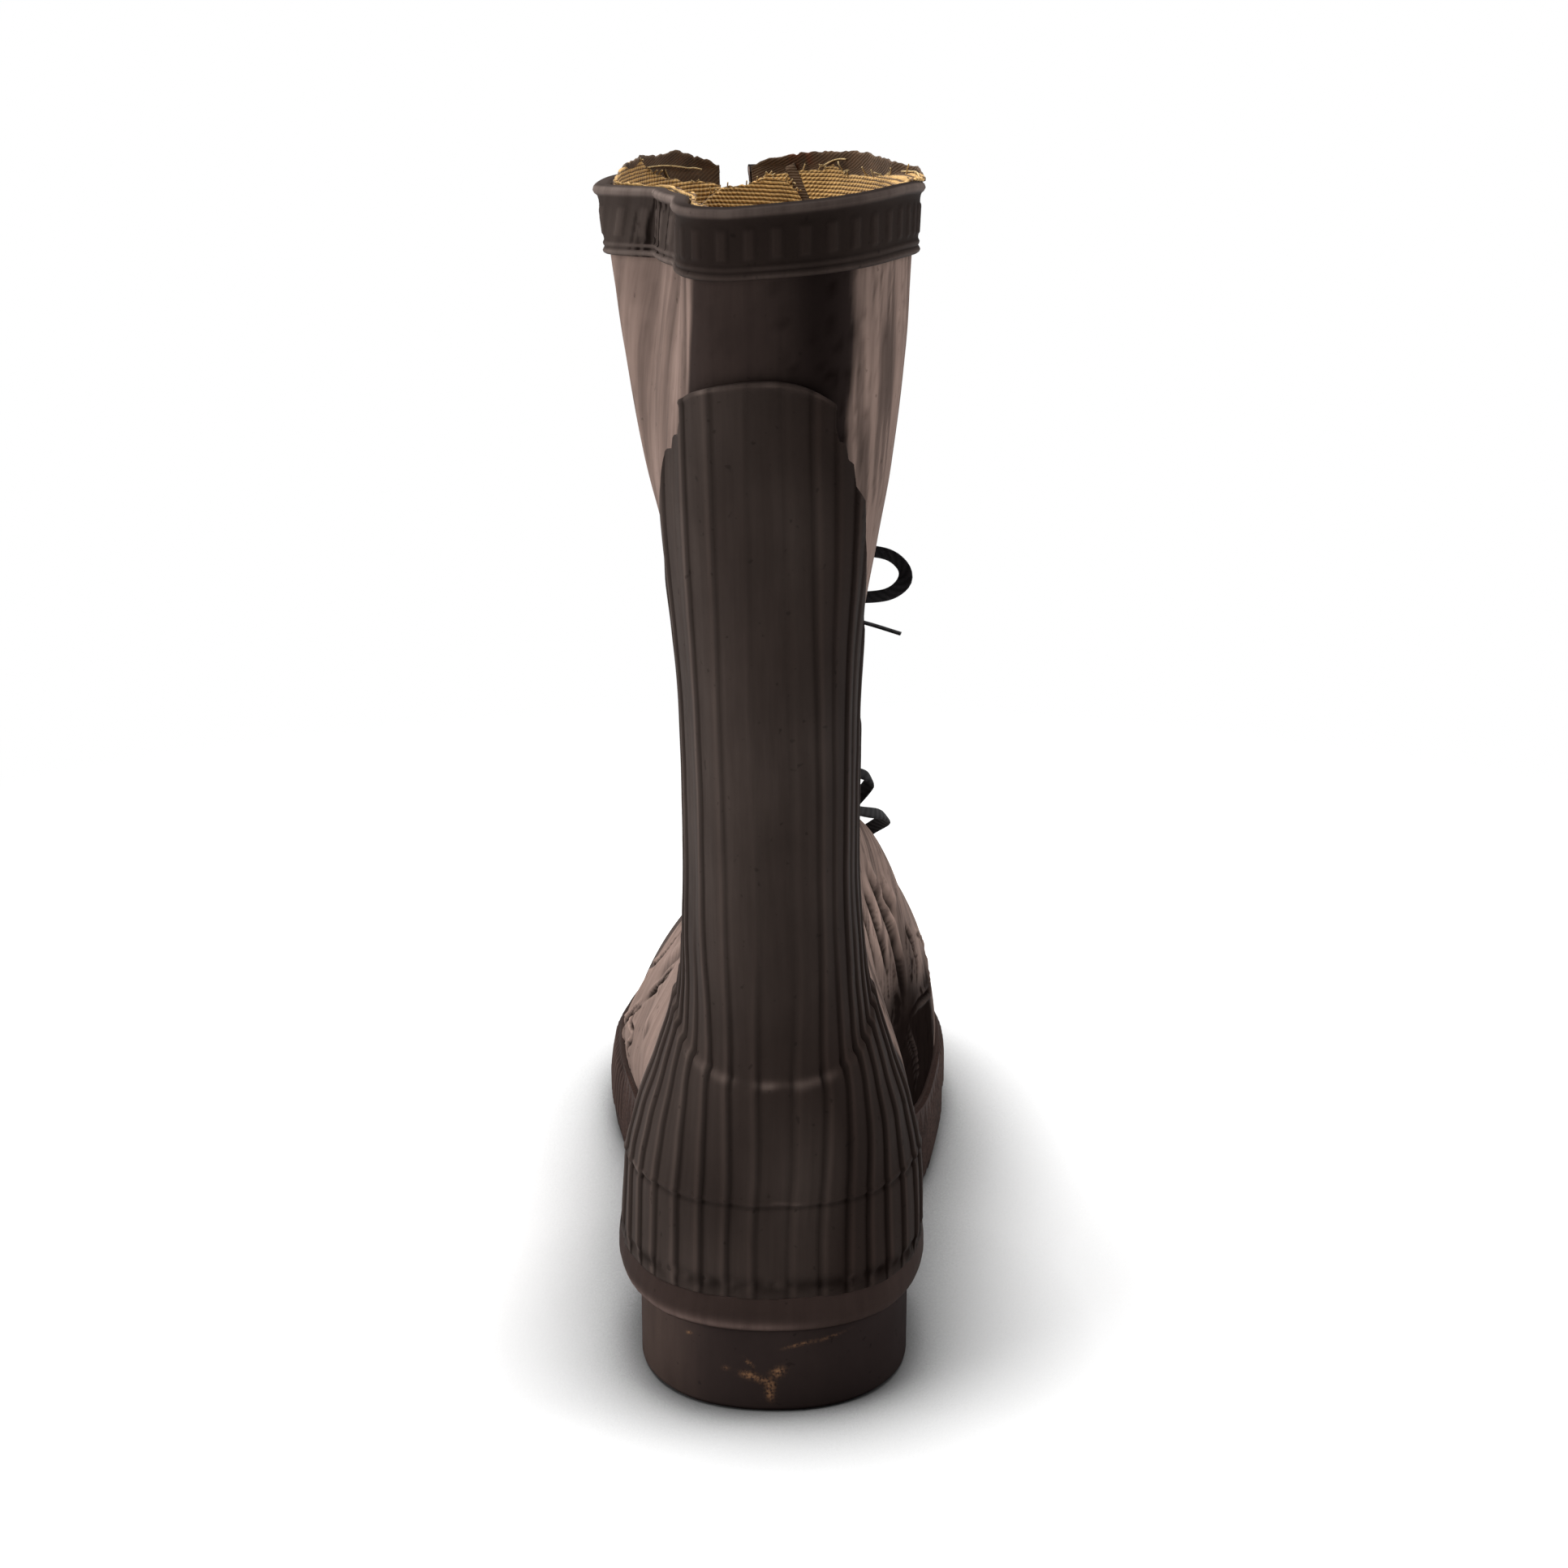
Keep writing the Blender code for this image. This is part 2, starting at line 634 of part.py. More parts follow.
def heel_ring(height, inset):
    """A D: round at the back and nearly straight across its front."""
    ring = []
    for i in range(HEEL_STEPS + 1):
        angle = math.pi * i / HEEL_STEPS
        x, y = math.sin(angle), -math.cos(angle)
        across = x**HEEL_BACK_POWER * (HEEL_HALF_WIDTH - inset)
        if y < 0:
            along = HEEL_CENTRE - (-y) ** HEEL_BACK_POWER * (HEEL_CENTRE - inset)
        else:
            along = HEEL_CENTRE + y**HEEL_FRONT_POWER * (HEEL_LENGTH - HEEL_CENTRE - inset)
        ring.append((across, along, height))
    return ring + [(-x, y, z) for x, y, z in reversed(ring[1:-1])]


def make_heel():
    """The block under the heel, with a small bevel at the floor and a tread."""
    rings = [heel_ring(0.0, HEEL_BEVEL), heel_ring(HEEL_BEVEL, 0.0), heel_ring(HEEL_HEIGHT - GAP, 0.0)]
    heel = ring_solid("heel", rings, BROWN)
    boxes = [groove_box(along, 0.0) for along in HEEL_GROOVES]
    cut(heel, cutter_boxes("heel_cutter", boxes))
    return heel


def make_insole():
    """A flat sole inside the upper, lying on the deck."""
    shares, teeth = sole_shares()
    heel_part, toe_part = shares[:teeth.index(True)], shares[teeth.index(True) + 3::4]
    shares = heel_part + toe_part
    low = deck_ring(shares, -(WALL + INSOLE_CLEARANCE), GAP)
    return ring_solid("insole", [low, low + [0, 0, INSOLE_THICKNESS]], CANVAS)


def make_tongue():
    """A curved tongue behind the throat, from inside the vamp up to the collar's lower edge."""
    outer, inner, cells = {}, {}, []
    rows = [THROAT_ROW - TONGUE_TUCK] + list(range(THROAT_ROW, len(SLICES) - 1))
    for r, v in enumerate(rows):
        half = TONGUE_END if v < THROAT_ROW else float(slice_value("edge", v)) + TONGUE_SIDE
        distances = front_distance(v, np.linspace(half, -half, TONGUE_COLUMNS + 1))
        face = -(WALL + TONGUE_CLEARANCE)
        outside = surface(v, distances, face)
        inside = surface(v, distances, face - TONGUE_THICKNESS)
        for c in range(TONGUE_COLUMNS + 1):
            outer[r, c], inner[r, c] = outside[c], inside[c]
        if r:
            for c in range(TONGUE_COLUMNS):
                cells.append(((r - 1, c), (r - 1, c + 1), (r, c + 1), (r, c)))
    return skin_solid("tongue", outer, inner, cells, CANVAS)


def stay_shares():
    """The counter's columns from its middle to one edge: each share and how far a rib rises there.

    A rib starts with a step up and falls slowly towards the edge, where the next one starts.
    """
    pitch = 1 / (RIB_COUNT + 0.5)
    columns = []
    for rib in range(RIB_COUNT):
        start = (rib + 0.5) * pitch
        relief = RIB_RELIEF[0] + (RIB_RELIEF[1] - RIB_RELIEF[0]) * rib / (RIB_COUNT - 1)
        columns += [(start, 0.0), (start + RIB_STEP * pitch, relief)]
    return columns + [(1.0, 0.0)]


def stay_points(height, shares, offsets, arch=0.0):
    """A row of the counter. arch lowers its ends, as at the top of the stay."""
    points = []
    for share, offset in zip(shares, offsets):
        side = "lateral" if share < 0 else "medial"
        reach = float(column(STAY, "height", side, height))
        v = row_at_height(height - arch * share * share)
        points.append(surface(v, [share * reach], offset)[0])
    return points


def make_counter():
    """Counter and back stay in one ribbed skin, which follows the upper from the sole upwards."""
    side = stay_shares()
    columns = [(-share, relief) for share, relief in reversed(side)] + side
    shares = [share for share, _ in columns]
    reliefs = [STAY_OUTER + relief for _, relief in columns]
    grooves = [i for i, (_, relief) in enumerate(columns) if relief == 0.0]
    rows = [(height, 0.0) for height in STAY_ROWS] + [(STAY_TOP, STAY_ARCH)]
    bm = bmesh.new()
    outer, inner = [], []
    for height, arch in rows:
        outside = stay_points(height, shares, reliefs, arch)
        inside = stay_points(height, [shares[i] for i in grooves], [STAY_INNER] * len(grooves), arch)
        outer.append([bm.verts.new(Vector(p) * MM) for p in outside])
        inner.append([bm.verts.new(Vector(p) * MM) for p in inside])
    for low, high in zip(outer, outer[1:]):
        for c in range(len(low) - 1):
            bm.faces.new([low[c], low[c + 1], high[c + 1], high[c]])
    for low, high in zip(inner, inner[1:]):
        for c in range(len(low) - 1):
            bm.faces.new([low[c], high[c], high[c + 1], low[c + 1]])
    for c in (0, -1):
        for r in range(len(rows) - 1):
            bm.faces.new([outer[r][c], outer[r + 1][c], inner[r + 1][c], inner[r][c]])
    for r in (0, -1):
        for i in range(len(grooves) - 1):
            edge = outer[r][grooves[i]:grooves[i + 1] + 1]
            bm.faces.new(edge + [inner[r][i + 1], inner[r][i]])
    bmesh.ops.recalc_face_normals(bm, faces=bm.faces)
    return add_object("ribbed_counter", bm, DARK)


def make_band():
    """The band round the collar, with a bead along its lower and upper edge."""
    shares = [-s for s in reversed(LATERAL_SHARES)] + [0.0] + list(MEDIAL_SHARES)
    bm = bmesh.new()
    lines = []
    for point in BAND:
        v = row_at_height(point.height)
        s, edge = section(v), float(slice_value("edge", v))
        ends = (s.lateral - edge, s.medial - edge)
        line = surface(v, [share * ends[share > 0] for share in shares], point.offset)
        lines.append([bm.verts.new(Vector(p) * MM) for p in line])
    for i, low in enumerate(lines):
        high = lines[(i + 1) % len(lines)]
        for c in range(len(low) - 1):
            bm.faces.new([low[c], low[c + 1], high[c + 1], high[c]])
    bm.faces.new([line[0] for line in lines])
    bm.faces.new([line[-1] for line in reversed(lines)])
    bmesh.ops.recalc_face_normals(bm, faces=bm.faces)
    return add_object("collar_band", bm, DARK)


def front_row(height):
    """The row number of the slice whose front centre line lies at this height."""
    rows = range(THROAT_ROW, len(SLICES))
    heights = [section(v).at([section(v).medial])[0, 2] for v in rows]
    return float(np.interp(height, heights, rows))


def front_point(height, from_front, offset):
    """A point beside the front centre line, and the way straight out of the boot there."""
    v = front_row(height)
    at = front_distance(v, [from_front])
    foot, tip = surface(v, at, 0.0)[0], surface(v, at, 1.0)[0]
    return foot + (tip - foot) * offset, tip - foot


def eyelet_side(height):
    """How far from the front centre line the eyelets of this height lie."""
    return float(slice_value("edge", front_row(height))) + EYELET_FROM_EDGE


def turned(name, profile, material, segments=8):
    """A round piece on the Z axis from its profile. One that never meets the axis is a ring."""
    bm = bmesh.new()
    rings = []
    for point in profile:
        ring = []
        for i in range(segments if point.radius else 1):
            angle = 2 * math.pi * i / segments
            place = (point.radius * math.cos(angle), point.radius * math.sin(angle), point.height)
            ring.append(bm.verts.new(Vector(place) * MM))
        rings.append(ring)
    pairs = list(zip(rings, rings[1:]))
    if profile[0].radius:
        pairs.append((rings[-1], rings[0]))
    for low, high in pairs:
        for i in range(segments):
            j = (i + 1) % segments
            corners = [low[i % len(low)], low[j % len(low)], high[j % len(high)], high[i % len(high)]]
            bm.faces.new(list(dict.fromkeys(corners)))
    bmesh.ops.recalc_face_normals(bm, faces=bm.faces)
    return add_object(name, bm, material)


def seat(piece, point, direction):
    """Stands a piece made on the Z axis on a point of the boot, facing straight out."""
    turn = Vector((0, 0, 1)).rotation_difference(Vector(direction)).to_matrix().to_4x4()
    piece.data.transform(Matrix.Translation(Vector(point) * MM) @ turn)


def make_fasteners():
    """Eyelet rings up the instep and lace hooks above them, in pairs."""
    kinds = (("eyelet", EYELET, EYELET_HEIGHTS, EYELET_SEAT), ("hook", HOOK, HOOK_HEIGHTS, HOOK_SEAT))
    for kind, profile, heights, lift in kinds:
        for number, height in enumerate(heights, 1):
            for side, sign in (("lateral", -1), ("medial", 1)):
                piece = turned(f"{kind}_{side}_{number}", profile, METAL)
                seat(piece, *front_point(height, sign * eyelet_side(height), lift))


def make_crossings():
    """The lace's zigzags over the throat, joined where they cross into one solid.

    A spot is (height, distance from the front line). Every eyelet has a level edge where one
    run of lace ends and the next begins, and every crossing a diamond where two runs meet.
    """
    half = LACE_WIDTH / 2
    spots, cells = {}, []

    def arm(name, eyelet, inner_corner, outer_corner):
        """Cells from an eyelet's level edge to one side of a diamond."""
        edges = [((eyelet, "inner"), (eyelet, "outer"))]
        for share in (1 / 3, 2 / 3):
            for end, corner in (("inner", inner_corner), ("outer", outer_corner)):
                start, finish = np.array(spots[eyelet, end]), np.array(spots[corner])
                spots[name, share, end] = start + share * (finish - start)
            edges.append(((name, share, "inner"), (name, share, "outer")))
        edges.append((inner_corner, outer_corner))
        for (a, b), (c, d) in zip(edges, edges[1:]):
            cells.append((a, b, d, c))

    for i, height in enumerate(EYELET_HEIGHTS):
        for side in (-1, 1):
            spots[(i, side), "inner"] = (height, side * (eyelet_side(height) - half))
            spots[(i, side), "outer"] = (height, side * (eyelet_side(height) + half))
    for i, height in enumerate(EYELET_HEIGHTS):
        last = i == len(EYELET_HEIGHTS) - 1
        middle = KNOT_HEIGHT - half if last else (height + EYELET_HEIGHTS[i + 1]) / 2
        diamond = [(i, corner) for corner in ("bottom", "right", "top", "left")]
        reach = (CROSSING_REACH, 0), (0, CROSSING_REACH)
        for key, sign, (up, across) in zip(diamond, (-1, 1, 1, -1), reach * 2):
            spots[key] = (middle + sign * up, sign * across)
        bottom, right, top, left = diamond
        cells.append(diamond)
        arm((i, "low", 1), (i, 1), bottom, right)
        arm((i, "low", -1), (i, -1), bottom, left)
        if not last:
            arm((i, "high", 1), (i + 1, 1), top, right)
            arm((i, "high", -1), (i + 1, -1), top, left)
    lowest = EYELET_HEIGHTS[0]
    spots["bar", "upper"], spots["bar", "lower"] = (lowest - half, 0.0), (lowest - 3 * half, 0.0)
    for side in (-1, 1):
        arm(("bar", side), (0, side), ("bar", "upper"), ("bar", "lower"))
    outer, inner = {}, {}
    for key, (height, from_front) in spots.items():
        inner[key], out = front_point(height, from_front, LACE_OFFSET)
        outer[key] = inner[key] + out * LACE_THICKNESS
    bm = bmesh.new()
    layers = [{key: bm.verts.new(Vector(layer[key]) * MM) for key in spots} for layer in (outer, inner)]
    bm.verts.index_update()
    walls = {}
    for cell in cells:
        for layer in layers:
            bm.faces.new([layer[key] for key in cell])
        for edge in zip(cell, [*cell[1:], cell[0]]):
            walls.setdefault(frozenset(edge), []).append(edge)
    for edges in walls.values():
        if len(edges) == 1:
            a, b = edges[0]
            bm.faces.new([layers[0][a], layers[0][b], layers[1][b], layers[1][a]])
    bmesh.ops.recalc_face_normals(bm, faces=bm.faces)
    add_object("lace_crossings", bm, LACE)


def smooth_route(points, spacing):
    """Points about evenly spaced along a smooth curve through the given ones."""
    points = np.array(points, float)
    padded = np.vstack([2 * points[0] - points[1], points, 2 * points[-1] - points[-2]])
    fine = []
    for a, b, c, d in zip(padded, padded[1:], padded[2:], padded[3:]):
        for t in np.linspace(0, 1, 12, endpoint=False):
            square = (2 * a - 5 * b + 4 * c - d) * t**2
            cube = (3 * b - a - 3 * c + d) * t**3
            fine.append((2 * b + (c - a) * t + square + cube) / 2)
    fine = np.array(fine + [points[-1]])
    travel = np.concatenate([[0], np.cumsum(np.linalg.norm(np.diff(fine, axis=0), axis=1))])
    count = max(2, round(travel[-1] / spacing))
    at = np.linspace(0, travel[-1], count + 1)
    return np.column_stack([np.interp(at, travel, fine[:, i]) for i in range(3)])


def make_bow():
    """The knot and, each in a node of its own, the bow's two loops and two ends."""
    middle, _ = front_point(KNOT_HEIGHT, 0.0, KNOT_OFFSET)
    bm = bmesh.new()
    bmesh.ops.create_uvsphere(bm, u_segments=8, v_segments=6, radius=0.5)
    bmesh.ops.scale(bm, vec=Vector(KNOT_SIZE) * MM, verts=bm.verts)
    bmesh.ops.translate(bm, vec=Vector(middle) * MM, verts=bm.verts)
    add_object("lace_knot", bm, LACE)
    for name, points in BOW.items():
        route = smooth_route(np.array(points) + middle, CORD_SPACING)
        curve = bpy.data.curves.new(name, "CURVE")
        curve.dimensions = "3D"
        curve.bevel_depth = CORD_RADIUS * MM
        curve.bevel_resolution = 2
        curve.use_fill_caps = True
        spline = curve.splines.new("POLY")
        spline.points.add(len(route) - 1)
        for point, place in zip(spline.points, route):
            point.co = (*(place * MM), 1.0)
        curve.materials.append(LACE)
        bpy.context.scene.collection.objects.link(bpy.data.objects.new(name, curve))


def place_origin():
    """Moves every mesh so that the origin lies under the middle of the whole boot's box."""
    shown = [o for o in bpy.data.objects if o.type == "MESH" and not o.hide_render]
    points = np.array([v.co for o in shown for v in o.data.vertices])
    low, high = points.min(axis=0), points.max(axis=0)
    shift = Vector((-(low[0] + high[0]) / 2, -(low[1] + high[1]) / 2, -low[2]))
    for o in bpy.data.objects:
        o.data.transform(Matrix.Translation(shift))


for old in list(bpy.data.objects):
    bpy.data.objects.remove(old, do_unlink=True)

BROWN = rubber("brown rubber", (0.045, 0.033, 0.027))
DARK = rubber("dark brown rubber", (0.026, 0.019, 0.016), 0.5)
CANVAS = rubber("canvas lining", (0.42, 0.31, 0.16), 0.9)
METAL = rubber("browned metal", (0.11, 0.06, 0.045), 0.45, 0.8)
LACE = rubber("black lace", (0.008, 0.008, 0.009), 0.85)

make_upper()
make_outsole()
make_heel()
make_insole()
make_tongue()
make_counter()
make_band()
make_fasteners()
make_crossings()
make_bow()
place_origin()
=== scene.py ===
"""Finished surfaces, lining and lace of a tall lace-up rubber boot, built round its CAD frame.

The boot's own sizes are in millimetres, from the back of the heel on the centre line at the floor:
the toe points along +Y, the inner (medial) side of the foot lies towards +X and +Z is up.
in_frame() moves them into the frame of the CAD model, in metres.
"""

import math
from collections import namedtuple

import bmesh
import bpy
import numpy as np
from mathutils import Matrix, Vector


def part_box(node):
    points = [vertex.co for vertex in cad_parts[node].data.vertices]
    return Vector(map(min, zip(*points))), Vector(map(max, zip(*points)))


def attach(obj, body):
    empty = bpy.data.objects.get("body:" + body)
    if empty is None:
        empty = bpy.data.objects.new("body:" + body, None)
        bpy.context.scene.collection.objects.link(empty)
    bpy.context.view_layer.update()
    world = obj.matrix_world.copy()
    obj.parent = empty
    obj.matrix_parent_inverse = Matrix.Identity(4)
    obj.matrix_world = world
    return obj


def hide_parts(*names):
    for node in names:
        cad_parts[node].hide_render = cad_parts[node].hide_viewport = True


bl_info = {
    "name": "Rubber boot finish",
    "version": (1, 0, 0),
    "blender": (4, 5, 0),
    "location": "3D View > Sidebar > Boot",
    "description": "Builds the rubber skins, lining and lace of a tall lace-up boot round its frame",
    "category": "Object",
}

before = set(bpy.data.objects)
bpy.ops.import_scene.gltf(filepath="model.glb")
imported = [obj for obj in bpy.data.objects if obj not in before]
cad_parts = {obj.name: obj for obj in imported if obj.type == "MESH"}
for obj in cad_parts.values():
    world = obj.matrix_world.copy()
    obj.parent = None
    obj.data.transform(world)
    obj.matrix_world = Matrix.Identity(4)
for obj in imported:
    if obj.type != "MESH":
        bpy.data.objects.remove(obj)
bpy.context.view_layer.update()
MM = 0.001
BODY = "root"

# ---------------------------------------------------------------- driving dimensions, as in the CAD
HEEL_HALF_WIDTH = 39.0
HEEL_HEIGHT = 26.0
HEEL_LENGTH = 80.0
HEEL_CENTRE = 42.0
HEEL_BACK_POWER = 0.89
HEEL_FRONT_POWER = 0.5
HEEL_BEVEL = 1.2
TOE_TIP = 303.0
TOE_ROUND_START = 226.0
TOE_POWER = 2.6
END_POWER = 2.2
HEEL_ROUND_START = 55.0
FOOT_BACK = 12.0
BLEND = 22.0
SHAFT_POWER = 2.3
LATERAL_POWER = 1.75
MEDIAL_POWER = 2.6
FOLD_IN = (14.0, 40.0)
FOLD_OUT = (66.0, 88.0)
SPINE_START = 70.0
ROUND_OFF = 32.0
ROUND_SHARE = 0.27
FOOT_REACH = 260.0
RAY_HALVINGS = 26

# ---------------------------------------------------------------- tables, as in the CAD
def table(fields, *rows):
    """Rows of numbers that are read by the names of their fields."""
    kind = namedtuple("Row", fields)
    return tuple(kind(*row) for row in rows)


# The shaft and heel: level sections, each with where its back and front lie, its two half
# widths, and how deep the slack fold behind the lateral side cuts in (a share of the radius).
SHAFT = table(
    "height back front lateral medial fold",
    (20, 7.5, 88, 37.5, 36.0, 0.0), (44, 5.0, 96, 40.5, 38.5, 0.0), (62, 4.5, 100, 41.2, 39.6, 0.0),
    (78, 5, 104, 38.0, 37.5, 0.0), (92, 7, 108, 32.3, 32.5, 0.0), (107, 12, 112, 27.0, 27.0, 0.0),
    (125, 15, 116, 25.0, 24.5, 0.0), (150, 16, 119, 24.5, 23.0, 0.0), (190, 19, 122, 25.0, 23.5, 0.0),
    (215, 19, 125, 27.0, 25.5, 0.0), (240, 19, 129, 31.4, 29.8, 0.03), (262, 18, 133, 36.4, 33.8, 0.09),
    (290, 16, 138, 41.3, 36.9, 0.19), (319, 12, 143, 45.0, 38.7, 0.30), (336, 10, 147, 47.2, 39.8, 0.34),
)

# The foot of the last: upright sections across it. The ridge is the top line of the instep,
# which lies towards the big toe.
FOOT = table(
    "along lateral medial ridge top",
    (10, 36, 36, 0, 50), (60, 36, 36, 2, 82), (100, 37, 34, 6, 118), (128, 40, 40, 10, 141),
    (152, 43.2, 49, 13, 134), (177, 48, 54, 13, 118), (200, 51.5, 57, 12, 105), (225, 53, 58, 12, 96),
    (255, 51, 56, 11, 91), (303, 47, 52, 9, 93),
)

# The sole: how high its bottom, its deck and its upturned rim are along the foot.
SOLE = table(
    "along bottom deck rim",
    (0, 26, 31, 36), (84, 26, 31, 36), (100, 21.5, 28, 34.5), (122, 10, 21, 31.5), (145, 2.5, 16, 29),
    (165, 0, 14, 28), (245, 0, 14, 28), (275, 3, 17, 30), (308, 11, 25, 36),
)

# The upper's rows: surfaces that cross the boot from its back, at a height there, forwards at
# a slope. front_x is where the front centre line runs. edge is the distance from that line to
# the front edge of the quarters: below the throat the vamp lies between them, above it nothing.
SLICES = table(
    "name height slope follow front_x edge",
    ("feather", 31, 0.0, 1.0, 8, 128), ("rim", 40, 0.0, 0.0, 8, 122), ("toe_side", 48, 0.02, 0.0, 8, 112),
    ("toe_top", 56, 0.07, 0.0, 9, 90), ("vamp_low", 64, 0.12, 0.0, 11, 58),
    ("vamp_high", 71, 0.165, 0.0, 12, 30), ("throat", 78, 0.19, 0.0, 12, 14),
    ("instep_low", 88, 0.22, 0.0, 11, 14.5), ("instep", 99, 0.24, 0.0, 9, 15),
    ("instep_high", 112, 0.24, 0.0, 7, 15), ("ankle", 128, 0.2, 0.0, 5, 14.5),
    ("shin_low", 150, 0.14, 0.0, 3, 13.5), ("shin", 176, 0.08, 0.0, 1, 12),
    ("calf_low", 204, 0.03, 0.0, -2, 10), ("calf", 233, 0.0, 0.0, -4, 8),
    ("calf_high", 262, 0.0, 0.0, -6, 6.5), ("panel", 291, 0.0, 0.0, -8, 5.5),
    ("band", 318, 0.0, 0.0, -10, 4.8), ("collar", 336, 0.0, 0.0, -11, 4.4),
)
THROAT_ROW = [row.name for row in SLICES].index("throat")
SIDES = ("lateral", "medial")

# The bow: routes of its loops and ends, measured from the middle of the knot.
BOW = {
    "lace_loop_medial": (
        (7.8, 0.4, 1.0), (13, 1.5, 3.6), (22, 4, 6.2), (31, 6, 7), (39, 6.5, 5.6), (43.6, 6.2, 1.6),
        (43.6, 5.4, -2.8), (39, 5, -6.4), (31, 4.8, -7.4), (22, 4.2, -6.4), (14, 3, -4.4),
        (8.2, 1.6, -2.2),
    ),
    "lace_loop_lateral": (
        (-7.8, 0.4, 0.8), (-13, 2, 1.6), (-18.5, 4, -2), (-21.5, 5, -9), (-22, 5.5, -18),
        (-20, 5.5, -26), (-14.5, 5, -31), (-8.5, 4.5, -28.5), (-5.2, 4, -22), (-4, 3.4, -14),
        (-3.6, 2.4, -5.6),
    ),
    "lace_end_medial": (
        (2.4, 4.6, -1.8), (7, 8.8, -7), (14.5, 11.2, -12), (24, 11.4, -15), (34, 10.2, -17.5),
        (43, 8.4, -20),
    ),
    "lace_end_lateral": (
        (-2.4, 4.6, -1.8), (-6, 9, -8), (-8, 10.8, -17), (-9.5, 10.6, -28), (-10.5, 8.8, -39),
        (-11, 7.2, -50), (-11.5, 7, -60),
    ),
}
# Where the flat side of each looks.
BOW_FACES = {
    "lace_loop_medial": (0.35, 1.0, 0.5),
    "lace_loop_lateral": (-0.35, 1.0, 0.4),
    "lace_end_medial": (0.35, 0.1, 1.0),
    "lace_end_lateral": (-0.6, 0.8, 0.2),
}


# ---------------------------------------------------------------- reading of the tables
def column(rows, key, field, at):
    """The rows' field at places along key, on a smooth curve that never overshoots a row."""
    xs = np.array([getattr(row, key) for row in rows], float)
    ys = np.array([getattr(row, field) for row in rows], float)
    steps = np.diff(xs)
    slopes = np.diff(ys) / steps
    tangents = np.empty(len(xs))
    tangents[0], tangents[-1] = slopes[0], slopes[-1]
    before, after = slopes[:-1], slopes[1:]
    with np.errstate(divide="ignore", invalid="ignore"):
        mean = 2.0 * before * after / (before + after)
    tangents[1:-1] = np.where(before * after > 0, mean, 0.0)
    at = np.clip(np.asarray(at, float), xs[0], xs[-1])
    i = np.clip(np.searchsorted(xs, at, side="right") - 1, 0, len(steps) - 1)
    h = steps[i]
    t = (at - xs[i]) / h
    start = (1 + 2 * t) * (1 - t) ** 2 * ys[i] + t * (1 - t) ** 2 * h * tangents[i]
    end = t * t * (3 - 2 * t) * ys[i + 1] + t * t * (t - 1) * h * tangents[i + 1]
    return start + end


def straight(rows, key, field, at):
    """The rows' field at places along key, on straight lines from row to row."""
    return np.interp(at, [getattr(row, key) for row in rows], [getattr(row, field) for row in rows])


NUMBERED = table("number height slope follow front_x edge", *((i, *row[1:]) for i, row in enumerate(SLICES)))


def slice_value(field, v):
    """A field of SLICES at a row's number, which may lie between two rows."""
    return column(NUMBERED, "number", field, v)


def ease(span, value):
    """0 before the span, 1 after it and a smooth step between."""
    t = np.clip((value - span[0]) / (span[1] - span[0]), 0, 1)
    return t * t * (3 - 2 * t)


# ---------------------------------------------------------------- the last's own form
def shaft_form(x, y, z):
    """Below zero inside the shaft and heel, in about millimetres."""
    back = column(SHAFT, "height", "back", z)
    front = column(SHAFT, "height", "front", z)
    half = np.where(x < 0, column(SHAFT, "height", "lateral", z), column(SHAFT, "height", "medial", z))
    depth = (front - back) / 2
    along = y - (front + back) / 2
    radius = (np.abs(x / half) ** SHAFT_POWER + np.abs(along / depth) ** SHAFT_POWER) ** (1 / SHAFT_POWER)
    angle = np.degrees(np.arctan2(-x, -along))
    fold = column(SHAFT, "height", "fold", z) * ease(FOLD_IN, angle) * (1 - ease(FOLD_OUT, angle))
    return (radius / (1 - fold) - 1) * column(SHAFT, "height", "medial", z)


def foot_form(x, y, z):
    """Below zero inside the foot, in about millimetres."""
    toe = np.clip((y - TOE_ROUND_START) / (TOE_TIP - TOE_ROUND_START), 0, None)
    heel = np.clip((HEEL_ROUND_START - y) / (HEEL_ROUND_START - FOOT_BACK), 0, None)
    ridge = column(FOOT, "along", "ridge", y)
    lateral = -column(FOOT, "along", "lateral", y)
    medial = column(FOOT, "along", "medial", y)
    deck = column(SOLE, "along", "deck", y)
    high = column(FOOT, "along", "top", y) - deck
    half = np.where(x < ridge, ridge - lateral, medial - ridge)
    power = np.where(x < ridge, LATERAL_POWER, MEDIAL_POWER)
    across = np.abs(x - ridge) / half
    up = np.clip(z - deck, 0, None) / high
    arch = (across**power + up**power) ** (1 / power)
    radius = (arch**END_POWER + toe**TOE_POWER + heel**2) ** (1 / END_POWER)
    return (radius - 1) * np.minimum((medial - lateral) / 2, high)


def form(x, y, z):
    """The whole last: shaft and foot run into each other over about the blend's width."""
    a, b = shaft_form(x, y, z), foot_form(x, y, z)
    share = np.clip(0.5 + 0.5 * (b - a) / BLEND, 0, 1)
    return b * (1 - share) + a * share - BLEND * share * (1 - share)


def cast(start, direction, height_at):
    """Where rays from inside the last leave it. height_at gives a ray's height at each y."""
    low, high = np.zeros(len(start)), np.full(len(start), FOOT_REACH)
    for _ in range(RAY_HALVINGS):
        middle = (low + high) / 2
        plan = start + direction * middle[:, None]
        inside = form(plan[:, 0], plan[:, 1], height_at(plan[:, 1])) < 0
        low, high = np.where(inside, middle, low), np.where(inside, high, middle)
    plan = start + direction * low[:, None]
    return np.column_stack([plan, height_at(plan[:, 1])])


